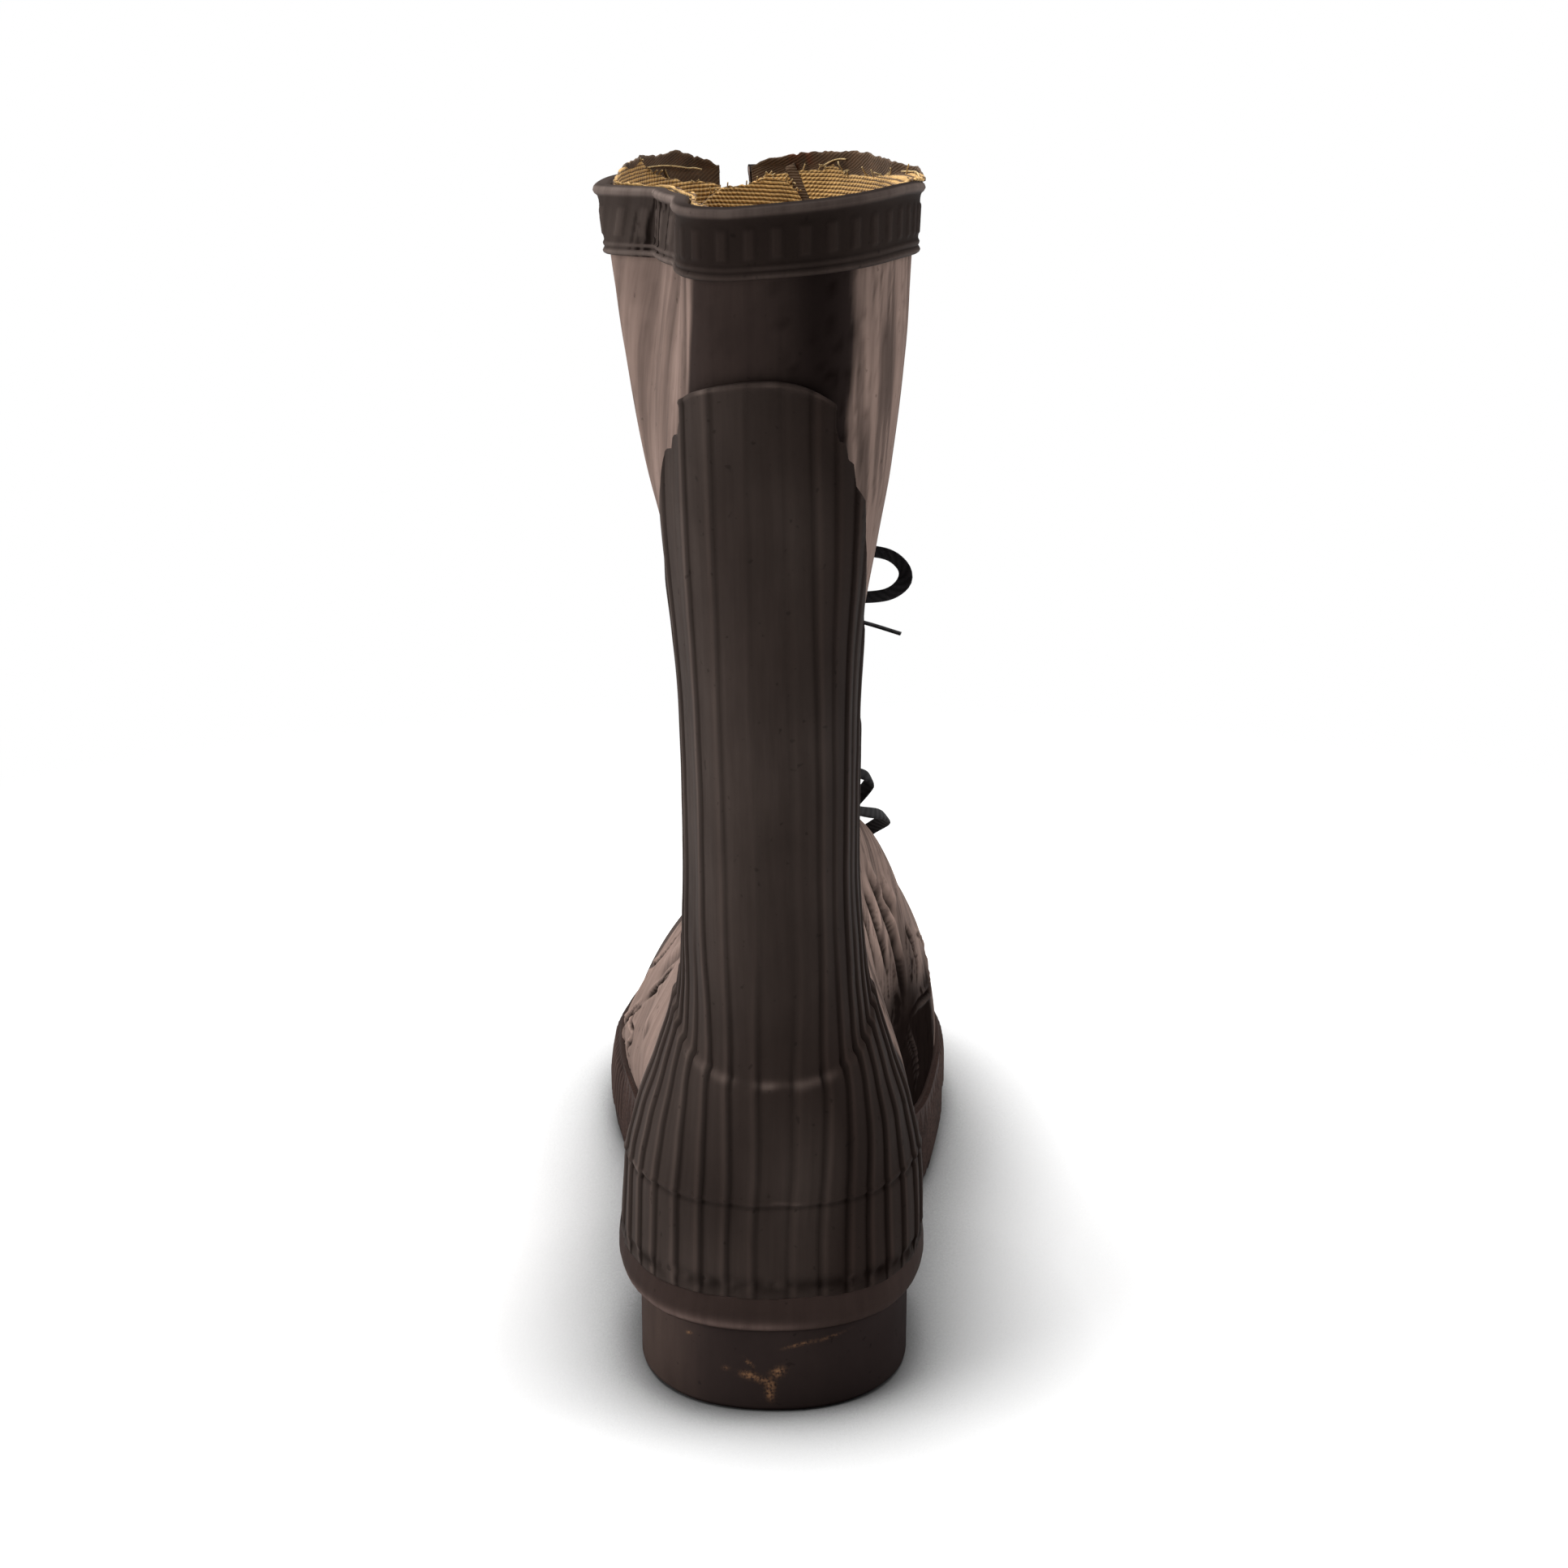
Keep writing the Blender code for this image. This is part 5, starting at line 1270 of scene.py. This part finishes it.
# The band from under its lower edge to inside its upper one: each corner's height and how far
# out it lies. The flat face runs up from the corner numbered BAND_FACE, with a row of bars on it.
BAND = table(
    "height offset",
    (317.6, 0.0), (317.8, 1.2), (318.3, 1.9), (318.9, 2.1), (319.5, 1.7), (319.9, 1.4), (320.5, 1.7),
    (321.0, 1.75), (321.7, 1.3), (332.4, 1.2), (333.6, 1.4), (334.3, 2.1), (335.2, 2.5), (336.1, 2.1),
    (336.6, 1.1), (336.7, 0.0), (336.5, -1.4), (335.8, -2.4), (334.0, -2.7),
)
BAND_FACE = 8
BAR_PITCH, BAR_HALF, BAR_STARTS, BAR_ENDS = 7.0, 1.3, (322.6, 323.6), (330.4, 331.4)


def band(u, v):
    """The band's corners: u goes round the collar and v over the band's face."""
    number = np.arange(len(BAND))
    height, rise = [np.interp(v, number, [getattr(row, key) for row in BAND]) for key in BAND[0]._fields]
    share = np.clip(u, -1, 1)
    row = row_of(np.minimum(height, COLLAR))
    distance = share * (SKIN.length(row, share) - edge_of(row, np.sign(u)))
    base, out = SKIN.at(row, distance)
    base[:, 2] += np.clip(height - COLLAR, 0, None)
    along = np.abs((distance + BAR_PITCH * 50) % BAR_PITCH - BAR_PITCH / 2)
    outside = v < BAND_FACE + 2
    bar = (1 - ease((BAR_HALF - 0.3, BAR_HALF + 0.3), along)) * ease(BAR_STARTS, height)
    bar = bar * (1 - ease(BAR_ENDS, height)) * outside
    face = rise + chosen("bar_rise") * bar + 0.15 * lumps(base, 16.0, 9) + turn_in(u, 2.6) * (rise > 0)
    points = base + out * face[:, None]
    bead = np.clip((rise - 1.35) / 0.9, 0, 1)
    slack = ease((20, 40), -distance)
    strokes = ease((0.0, 0.4), flat_lumps(distance, height / 9, 0.9, 38))
    strokes = strokes * ease((52, 56), -distance) * ease((78, 74), -distance) * (bead < 0.3) * outside
    roll = bead * ease((334, 335.5), height)
    patchy = 1 + 0.5 * lumps(base, 11.0, 39)
    # Painted highlight on the beads and the bars; darker strokes on the lateral face.
    shade = np.clip(0.38 + 0.28 * bead + 0.16 * bar - 0.34 * strokes, 0, 1)
    # Painted highlight along the top of the roll and on the beads, carried in the bloom, lighter on the slack lateral
    # part and towards the medial end.
    bloom = 0.02 + (0.08 * bead + 0.08 * roll) * patchy + slack * (0.2 + 0.14 * bead) * (1 - 0.9 * strokes)
    bloom = np.clip(bloom + 0.12 * bead * ease((30, 60), distance), 0, 1)
    return points, np.column_stack([distance, height]), {"bloom": bloom, "relief": shade}


class BOOT_OT_band(bpy.types.Operator):
    """The band round the collar, with a bead along both edges and a row of plain raised bars"""

    bl_idname = "boot.band"
    bl_label = "Collar band"

    def execute(self, context):
        spans = ((0, BAND_FACE, 30), (BAND_FACE, BAND_FACE + 1, 18))
        rows = [np.linspace(*span, endpoint=False) for span in spans]
        rows = np.concatenate([*rows, np.linspace(BAND_FACE + 1, len(BAND) - 1, 33)])
        mesh = sheet("band", hemmed(np.linspace(-1, 1, 601)), rows, band)
        finish_piece("band", mesh, finish("counter"), ["collar_band"])
        return {"FINISHED"}


# How far the sole's side stands out from the outline of the last, from its foot to its top: a
# roll round the heel, and a flat knurled side round the forefoot, slimmer along the waist.
HEEL_ROLL = table("up out", (0, 0.8), (0.12, 2.2), (0.3, 2.9), (0.55, 2.8), (0.8, 2.3), (1.0, 1.9))
FORE_SIDE = table("up out", (0, 2.2), (0.1, 3.1), (0.25, 3.7), (0.72, 3.7), (0.9, 3.3), (1.0, 2.2))
FORE_STARTS = (0.21, 0.42)
WAIST_SLIM, WAIST_STARTS, WAIST_ENDS = 0.66, (92, 116), ((200, 160), (220, 182))
KNURL_PITCH, KNURL_SPANS = 4.0, ((0.30, 0.36), (0.86, 0.95))
HEEL_STAND = 0.35

# Scuffs on the back of the heel: where, how long and wide, which way they slant and how worn.
HEEL_BLOTS = table(
    "across height length width turn strength",
    (-7.5, 11.5, 2.0, 0.9, -0.15, 1.2), (-3.8, 10.0, 2.2, 0.8, -0.4, 0.9),
    (0.8, 12.6, 1.8, 1.2, 0.5, 1.2), (-1.2, 8.4, 1.8, 1.0, -1.3, 1.0), (-1.6, 5.6, 1.7, 0.8, -1.3, 1.3),
    (-7.4, 15.4, 1.6, 0.3, -0.7, 0.9), (6.5, 21.0, 3.4, 0.35, 0.22, 0.9),
    (15.0, 22.2, 4.0, 0.35, 0.2, 0.45), (-24.4, 21.5, 0.7, 0.4, 0.3, 0.9),
    (-14.0, 13.0, 0.9, 0.5, 0.0, 0.5),
)
SOLE_COLUMNS = 1040


def sole_outline(level):
    """The outline of the last along a level of the sole's table."""
    return Section(lambda y: column(SOLE, "along", level, y), SLICES[0].front_x)


DECK_CUT, RIM_CUT = sole_outline("deck"), sole_outline("rim")


def heel_side(u, v):
    """The corners of the heel's side: u goes round it and v is the height."""
    x, y = np.sin(np.abs(u) * math.pi), -np.cos(np.abs(u) * math.pi)
    inset = HEEL_BEVEL * np.clip(1 - v / HEEL_BEVEL, 0, 1) - HEEL_STAND
    inset = inset - 0.12 * lumps(np.column_stack([60 * x * np.sign(u), 60 * y, v]), 12.0, 41)
    across = np.clip(x, 0, 1) ** HEEL_BACK_POWER * (HEEL_HALF_WIDTH - inset)
    back = HEEL_CENTRE - np.clip(-y, 0, 1) ** HEEL_BACK_POWER * (HEEL_CENTRE - inset)
    front = HEEL_CENTRE + np.clip(y, 0, 1) ** HEEL_FRONT_POWER * (HEEL_LENGTH - HEEL_CENTRE - inset)
    points = np.column_stack([np.sign(u) * across, np.where(y < 0, back, front), v])
    near = points[:, 1] < HEEL_CENTRE
    mark = np.zeros(len(u))
    for blot in HEEL_BLOTS:
        x, z = points[:, 0] - blot.across, v - blot.height
        gone = x * math.cos(blot.turn) + z * math.sin(blot.turn)
        aside = z * math.cos(blot.turn) - x * math.sin(blot.turn)
        mark += blot.strength * np.exp(-((gone / blot.length) ** 2) - (aside / blot.width) ** 2)
    # Painted light on the lateral side and painted shade on the medial side.
    bloom = 0.05 + 0.24 * ease((16, 37), -points[:, 0]) - 0.04 * ease((8, 24), points[:, 0])
    shade = 0.5 + 0.06 * lumps(points, 14.0, 42) - 0.09 * ease((0, 30), points[:, 0])
    shade -= 0.3 * bump(v, HEEL_HEIGHT, 0.8)
    looks = {"bloom": bloom, "relief": np.clip(shade, 0, 1), "scuff": np.clip(mark * near, 0, 1)}
    return points, np.column_stack([60 * u, v]), looks


def sole_side(u, v):
    """The corners of the sole's side: u goes round the sole and v up, then in under the upper."""
    travel = DECK_CUT.travel(u)
    deck_line, rim_line = DECK_CUT.at(travel), RIM_CUT.at(RIM_CUT.travel(u))
    along = deck_line[:, 1]
    bottom, rim = column(SOLE, "along", "bottom", along), column(SOLE, "along", "rim", along)
    t = np.clip(v, 0, 1)
    height = bottom + t * (rim + 0.9 - bottom)
    lean = np.clip((height - deck_line[:, 2]) / (rim - deck_line[:, 2]), 0, 1)[:, None]
    ring = deck_line + (rim_line - deck_line) * lean
    out = form_slope(ring)
    out[:, 2] = 0
    out /= np.linalg.norm(out, axis=1)[:, None]
    fore = ease(FORE_STARTS, np.abs(u))
    roll, fore_side = [straight(rows, "up", "out", t) for rows in (HEEL_ROLL, FORE_SIDE)]
    face = roll + (fore_side - roll) * fore
    slim = np.where(u < 0, *[ease(span, along) for span in WAIST_ENDS])
    face = face * (1 - WAIST_SLIM * ease(WAIST_STARTS, along) * slim)
    from_toe = (1 - np.abs(u)) * np.where(u < 0, DECK_CUT.lateral, DECK_CUT.medial)
    wave = np.cos(2 * math.pi * from_toe / KNURL_PITCH)
    teeth = wave * fore * ease(KNURL_SPANS[0], t) * (1 - ease(KNURL_SPANS[1], t))
    knurl = chosen("knurl_rise") * teeth
    face = face + knurl + 0.2 * lumps(ring, 14.0, 11) * (1 - fore)
    face = face * (1 - np.clip(v - 1, 0, 1)) - 0.4 * np.clip(v - 1, 0, 1)
    points = ring + out * face[:, None]
    points[:, 2] = height + 0.2 * lumps(ring, 9.0, 12) * t
    # Painted highlight along the heel roll's lip on the lateral side, and painted highlight on the knurl's teeth with
    # painted shade between them; darker along its foot.
    lateral = ease((20, -8), ring[:, 0])
    lip = (1 - fore) * bump(t, 0.18, 0.16) * lateral
    shade = np.clip(0.46 + 0.4 * teeth - 0.4 * bump(t, 0.0, 0.07) + 0.12 * lip, 0, 1)
    bloom = 0.05 + 0.28 * lip
    return points, np.column_stack([travel, height]), {"bloom": bloom, "relief": shade}


class BOOT_OT_sole(bpy.types.Operator):
    """The sole's side: a smooth roll over the heel and a knurled edge round the forefoot"""

    bl_idname = "boot.sole"
    bl_label = "Sole edge"

    def execute(self, context):
        rows = np.concatenate([np.linspace(0, 1, 23), [1.3, 2.0]])
        mesh = sheet("sole_edge", np.linspace(-1, 1, SOLE_COLUMNS + 1), rows, sole_side)
        weld(mesh)
        finish_piece("sole_edge", mesh, finish("sole"))

        rows = np.concatenate([[0.02, 0.3, 0.7, 1.2], np.linspace(1.8, HEEL_HEIGHT, 44)])
        mesh = sheet("heel_side", np.linspace(-1, 1, 481), rows, heel_side)
        weld(mesh)
        finish_piece("heel_side", mesh, finish("heel"))
        for node in ("outsole", "heel"):
            paint(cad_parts[node].data, finish("tread"))
        return {"FINISHED"}


# ---------------------------------------------------------------- lining and tongue
# How high the knit lining and the twill facing outside it reach round the collar, at shares of
# the way to the front. The facing stands up where it has come away from the rubber.
TOPS = table(
    "share knit facing",
    (-0.992, 330.5, 336.6), (-0.965, 331.0, 338.2), (-0.93, 331.5, 339.6), (-0.895, 332.5, 341.8),
    (-0.86, 333.5, 341.0), (-0.83, 334.6, 340.4), (-0.782, 338.6, 341.2), (-0.75, 340.2, 340.8),
    (-0.677, 339.2, 339.4), (-0.62, 338.0, 337.0), (-0.5, 337.0, 335.5), (-0.3, 336.8, 334.0),
    (-0.12, 336.2, 333.0), (0.0, 335.2, 333.0), (0.3, 335.4, 334.0), (0.38, 336.8, 335.0),
    (0.44, 338.0, 336.6), (0.52, 337.8, 338.6), (0.57, 336.6, 339.2), (0.625, 335.4, 339.6),
    (0.70, 334.4, 340.4), (0.762, 334.0, 341.0), (0.80, 333.6, 341.0), (0.835, 337.0, 340.8),
    (0.86, 334.6, 340.4), (0.90, 334.0, 339.8), (0.96, 333.0, 338.4), (0.992, 331.4, 336.4),
)
LINING_START, LINING_FOOT, FACING_FOOT = 0.992, 90.0, 316
KNIT_THICK, FACING_THICK, TONGUE_THICK = 0.8, 0.6, 2.2
FACING_SPANS, FACING_LEAN = ((-LINING_START, -0.56), (0.44, LINING_START)), (335, 342)
FOLDED_OVER, RIM_TURN, FOLD_REACH = (0.34, 0.42, 0.56, 0.64), (334.5, 337.2), 5.6
SHORT_THREADS, THREAD = 36, (0.42, 0.36)
# Long threads along the rim: the shares of the way to the front and the heights of both ends.
LONG_THREADS = (0.86, 0.80, 335.8, 338.4), (0.60, 0.47, 337.4, 336.6), (-0.79, -0.95, 337.5, 335.0)
TONGUE_TUCK, TONGUE_SIDE, TONGUE_HALF = 0.8, 16.0, 18.0
TONGUE_TOP = table(
    "far top",
    (-22, 322), (-16, 326), (-12, 328.4), (-7, 329.2), (0, 330.0), (5, 330.8), (8, 332.6), (11, 331.4),
    (15, 330.6), (18, 328.4), (20.5, 325),
)


def lining_top(share, field):
    """How high the lining's knit or facing reaches at a share, with its torn threads."""
    torn = 0.45 * flat_lumps(share * 180, 0, 4.0, 14) + 0.4 * flat_lumps(share * 180, 0, 1.3, 15)
    return straight(TOPS, "share", field, share) + torn


def inside(share, height, deep):
    """Points inside the upper's wall, or over its top, at a height and so far in from the face.

    On the medial side the torn edge is folded out over the rubber's rim.
    """
    row = row_of(np.minimum(height, COLLAR))
    distance = share * (SKIN.length(row, share) - edge_of(row, np.sign(share)) + 1.0)
    base, out = SKIN.at(row, distance, -np.asarray(deep))
    base[:, 2] += np.clip(height - COLLAR, 0, None)
    a, b, c, d = FOLDED_OVER
    over = ease((a, b), share) * ease((d, c), share) * ease(RIM_TURN, height)
    return base + out * (FOLD_REACH * over)[:, None], out, distance


def thread(start, way, length, curl, seed):
    """A loose thread that leaves a point along a way and curls off."""
    steps = np.linspace(0, 1, 9)[:, None]
    sway = np.column_stack([flat_lumps(steps[:, 0] * length, 0, 2.2, seed + axis) for axis in range(3)])
    route = start + way * steps * length + curl * (sway - sway[0]) * steps
    return ribbon("thread", route, (0.2, -1.0, 0.1), *THREAD, sides=6)


def lining(u, v):
    """The lining's corners: u goes round the leg and v up to the torn edge."""
    share = u * LINING_START
    height = LINING_FOOT + v * (lining_top(share, "knit") - LINING_FOOT)
    base, out, distance = inside(share, height, WALL + 0.9)
    base += out * (0.3 * lumps(base, 8.0, 15) + 0.15 * lumps(base, 2.5, 16))[:, None]
    return base, np.column_stack([distance, height + 0.02 * distance]), {}


def tongue(u, v):
    """The corners of the tongue's cloth: u goes across it and v up."""
    wide = u * (TONGUE_SIDE + 6)
    top = straight(TONGUE_TOP, "far", "top", wide) + 0.6 * flat_lumps(wide, 0, 1.6, 33)
    row = THROAT_ROW - TONGUE_TUCK + v * (front_row(top) - THROAT_ROW + TONGUE_TUCK)
    half = np.where(row < THROAT_ROW, TONGUE_HALF, edge_of(row) + TONGUE_SIDE)
    far = u * half
    distance = SKIN.from_front(row, np.where(far == 0, 1e-6, far))
    base, out = SKIN.at(row, distance)
    face = -(WALL + 1.8) + 0.3 * lumps(base, 14.0, 16)
    return base + out * face[:, None], np.column_stack([far, base[:, 2] + 0.05 * far]), {}


class BOOT_OT_lining(bpy.types.Operator):
    """The knit lining with its twill facing, torn round the collar, and the tongue's cloth"""

    bl_idname = "boot.lining"
    bl_label = "Lining"

    def execute(self, context):
        rows = np.concatenate([np.linspace(0, 0.88, 14, endpoint=False), np.linspace(0.88, 1, 26)])
        mesh = sheet("lining", np.linspace(-1, 1, 421), rows, lining)
        piece = finish_piece("lining", mesh, finish("knit"))
        thicken(piece, KNIT_THICK)

        facings = []
        for first, last in FACING_SPANS:
            def facing(u, v):
                share = first + (last - first) * u
                top = lining_top(share, "facing")
                height = FACING_FOOT + v * (top - FACING_FOOT)
                base, out, distance = inside(share, height, WALL + 0.2)
                lean = ease(FACING_LEAN, height) * (1 + 0.6 * lumps(base, 12.0, 18))
                base += out * (0.35 * lumps(base, 7.0, 17) - 1.2 * lean)[:, None]
                patch = ease((0.03, 0.012), np.abs(share - 0.905)) * ease((333.8, 334.8), height)
                patch = 0.8 * patch * ease((-0.4, 0.6), lumps(base, 2.0, 19))
                return base, np.column_stack([distance, height]), {"patch": patch}

            facings.append(sheet("facing", np.linspace(0, 1, 181), np.linspace(0, 1, 26), facing))

        steps = np.linspace(0, 1, 12)
        strip, _, _ = inside(0.925 - 0.034 * steps, 335.5 - 12.0 * steps, WALL + 2.1)
        facings.append(ribbon("strip", strip, (0.0, -1.0, 0.0), 3.0, 0.9))
        piece = finish_piece("facing", joined("facing", facings), finish("twill"))
        thicken(piece, FACING_THICK)

        rows = np.concatenate([np.linspace(0, 0.9, 50, endpoint=False), np.linspace(0.9, 1, 30)])
        mesh = sheet("tongue_cloth", np.linspace(1, -1, 121), rows, tongue)
        piece = finish_piece("tongue_cloth", mesh, finish("knit"), ["tongue"])
        thicken(piece, TONGUE_THICK)

        chance = np.random.RandomState(11)
        threads = []
        for number in range(SHORT_THREADS):
            at = np.array([chance.uniform(-0.95, -0.7) if number % 4 == 0 else chance.uniform(0.5, 0.985)])
            start, _, _ = inside(at, lining_top(at, "knit") - 0.3, WALL + 1.2)
            way = np.array([chance.uniform(-0.8, 0.8), -0.35, chance.uniform(0.1, 1.0)])
            way = way / np.linalg.norm(way)
            length, curl = chance.uniform(1.2, 3.4), chance.uniform(0.8, 1.8)
            threads.append(thread(start[0], way, length, curl, 40 + 3 * number))
        for row in TONGUE_TOP[2:-1]:
            for side in (-1.2, 0.0, 1.2):
                point, _ = front_point(min(row.top, 334.0), row.far + side, -(WALL + 3.4))
                point[2] -= 0.5
                way = np.array([chance.uniform(-0.5, 0.5), -0.5, chance.uniform(0.3, 1.0)])
                threads.append(thread(point, way, chance.uniform(1.0, 2.2), 0.9, 400 + int(10 * row.far + side)))
        for first, last, low, high in LONG_THREADS:
            steps = np.linspace(0, 1, 24)
            height = low + (high - low) * steps + 0.9 * np.sin(math.pi * steps)
            route, _, _ = inside(first + (last - first) * steps, height, WALL + 1.9)
            threads.append(ribbon("thread", route, (0.0, -1.0, 0.3), 0.45, 0.4, sides=6))
        finish_piece("loose_threads", joined("loose_threads", threads), finish("thread"))
        paint(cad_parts["insole"].data, finish("knit"))
        return {"FINISHED"}


# ---------------------------------------------------------------- fasteners and lacing
EYELET = table(
    "radius height",
    (2.2, -1.4), (2.2, 0.6), (2.5, 1.05), (3.0, 1.2), (3.6, 1.05), (4.1, 0.6), (4.35, 0.0),
)
HOOK = table(
    "radius height",
    (4.3, 0.0), (3.9, 0.5), (2.2, 0.8), (1.7, 1.3), (1.7, 2.4), (2.6, 2.7), (3.8, 3.1), (3.9, 3.7),
    (3.2, 4.4), (1.6, 4.8), (0.0, 4.9),
)


def turned(profile, point, direction, segments=28):
    """A round piece spun from its profile, stood on a point of the boot."""
    bm = bmesh.new()
    corners = [bm.verts.new((p.radius * MM, 0, p.height * MM)) for p in profile]
    edges = [bm.edges.new(pair) for pair in zip(corners, corners[1:])]
    bmesh.ops.spin(bm, geom=corners + edges, cent=(0, 0, 0), axis=(0, 0, 1), angle=2 * math.pi,
                   steps=segments, use_merge=True)
    bmesh.ops.remove_doubles(bm, verts=bm.verts, dist=1e-6)
    bmesh.ops.recalc_face_normals(bm, faces=bm.faces)
    turn = Vector((0, 0, 1)).rotation_difference(Vector(direction)).to_matrix().to_4x4()
    bmesh.ops.transform(bm, matrix=Matrix.Translation(Vector(in_frame(point))) @ turn, verts=bm.verts)
    mesh = as_mesh("turned", bm)
    mesh.shade_smooth()
    return mesh


def eyelet_side(height):
    """How far an eyelet at a height lies from the front centre line."""
    return float(edge_of(front_row(height))) + EYELET_FROM_EDGE


class BOOT_OT_fasteners(bpy.types.Operator):
    """Eyelets up the instep and lace hooks above them"""

    bl_idname = "boot.fasteners"
    bl_label = "Eyelets and hooks"

    def execute(self, context):
        kinds = (("eyelet", EYELET, EYELET_HEIGHTS, 0.6), ("hook", HOOK, HOOK_HEIGHTS, 0.3))
        for kind, profile, heights, lift in kinds:
            meshes, nodes = [], []
            for number, height in enumerate(heights, 1):
                for side, sign in (("lateral", -1), ("medial", 1)):
                    point, out = front_point(height, sign * eyelet_side(height), lift)
                    meshes.append(turned(profile, point, out))
                    nodes.append(f"{kind}_{side}_{number}")
            finish_piece(kind + "s", joined(kind + "s", meshes), finish("metal"), nodes)
        return {"FINISHED"}


class BOOT_OT_lacing(bpy.types.Operator):
    """The lace's runs over the throat, from eyelet to eyelet"""

    bl_idname = "boot.lacing"
    bl_label = "Lacing"

    def execute(self, context):
        meshes = []

        def lace_through(places):
            """A run of lace through places, each a height, a distance from the front and a rise."""
            spots = [front_point(*place) for place in places]
            meshes.append(ribbon("run", np.array([spot[0] for spot in spots]), np.array([spot[1] for spot in spots]),
                                 chosen("lace_width"), chosen("lace_thickness")))

        def run(low, side, high, lift):
            """From an eyelet over the tongue to one on the other side."""
            steps = np.linspace(0, 1, 40)
            dips = 3.6 * (bump(steps, 0.0, 0.045) + bump(steps, 1.0, 0.045))
            rise = 3.2 + lift * bump(steps, 0.5, 0.22) - dips
            far = side * (eyelet_side(low) * (1 - steps) - eyelet_side(high) * steps)
            lace_through(zip(low + (high - low) * steps, far, rise))

        def slack(high, low, lift, reach, late):
            """A slack bight beside the medial eyelets, where the lace stands away from the boot."""
            steps = np.linspace(0, 1, 30)
            swell = np.sin(math.pi * steps**late)
            far = eyelet_side(high) * (1 - steps) + eyelet_side(low) * steps + reach * swell
            lace_through(zip(high + (low - high) * steps, far, 0.2 + lift * swell))

        lowest = EYELET_HEIGHTS[0]
        run(lowest, -1, lowest, 0.0)
        for low, high in zip(EYELET_HEIGHTS, EYELET_HEIGHTS[1:]):
            run(low, -1, high, 0.0)
            run(low, 1, high, 1.5)
        slack(EYELET_HEIGHTS[2], EYELET_HEIGHTS[1], 10.5, 0.0, 1.5)
        slack(EYELET_HEIGHTS[1], EYELET_HEIGHTS[0], 6.5, 6.0, 1.2)
        top = EYELET_HEIGHTS[-1]
        for side in (-1, 1):
            steps = np.linspace(0, 1, 24)
            far = side * (eyelet_side(top) * (1 - steps) + 3.0 * steps)
            rise = 3.4 + (KNOT_OFFSET - 3.4) * steps - 3.6 * bump(steps, 0.0, 0.08)
            lace_through(zip(top + (KNOT_HEIGHT - top) * steps, far, rise))
        finish_piece("lacing", joined("lacing", meshes), finish("lace"), ["lace_crossings"])
        return {"FINISHED"}


OPERATORS = (
    BOOT_OT_stage, BOOT_OT_bow, BOOT_OT_upper, BOOT_OT_counter, BOOT_OT_band, BOOT_OT_sole,
    BOOT_OT_lining, BOOT_OT_fasteners, BOOT_OT_lacing,
)


class BOOT_PT_panel(bpy.types.Panel):
    """The boot's sizes and colours, and a button for each of its pieces"""

    bl_idname = "BOOT_PT_panel"
    bl_label = "Rubber boot"
    bl_space_type = "VIEW_3D"
    bl_region_type = "UI"
    bl_category = "Boot"

    def draw(self, context):
        settings = context.scene.boot
        for name in settings.__annotations__:
            self.layout.prop(settings, name)
        for kind in OPERATORS:
            self.layout.operator(kind.bl_idname)


CLASSES = (BootSettings, *OPERATORS, BOOT_PT_panel)


def register():
    for kind in CLASSES:
        bpy.utils.register_class(kind)
    bpy.types.Scene.boot = bpy.props.PointerProperty(type=BootSettings)


def unregister():
    del bpy.types.Scene.boot
    for kind in reversed(CLASSES):
        bpy.utils.unregister_class(kind)


def main():
    register()
    for kind in OPERATORS:
        getattr(bpy.ops.boot, kind.bl_idname.split(".")[1])()
    bpy.context.view_layer.update()


if __name__ == "__main__":
    main()
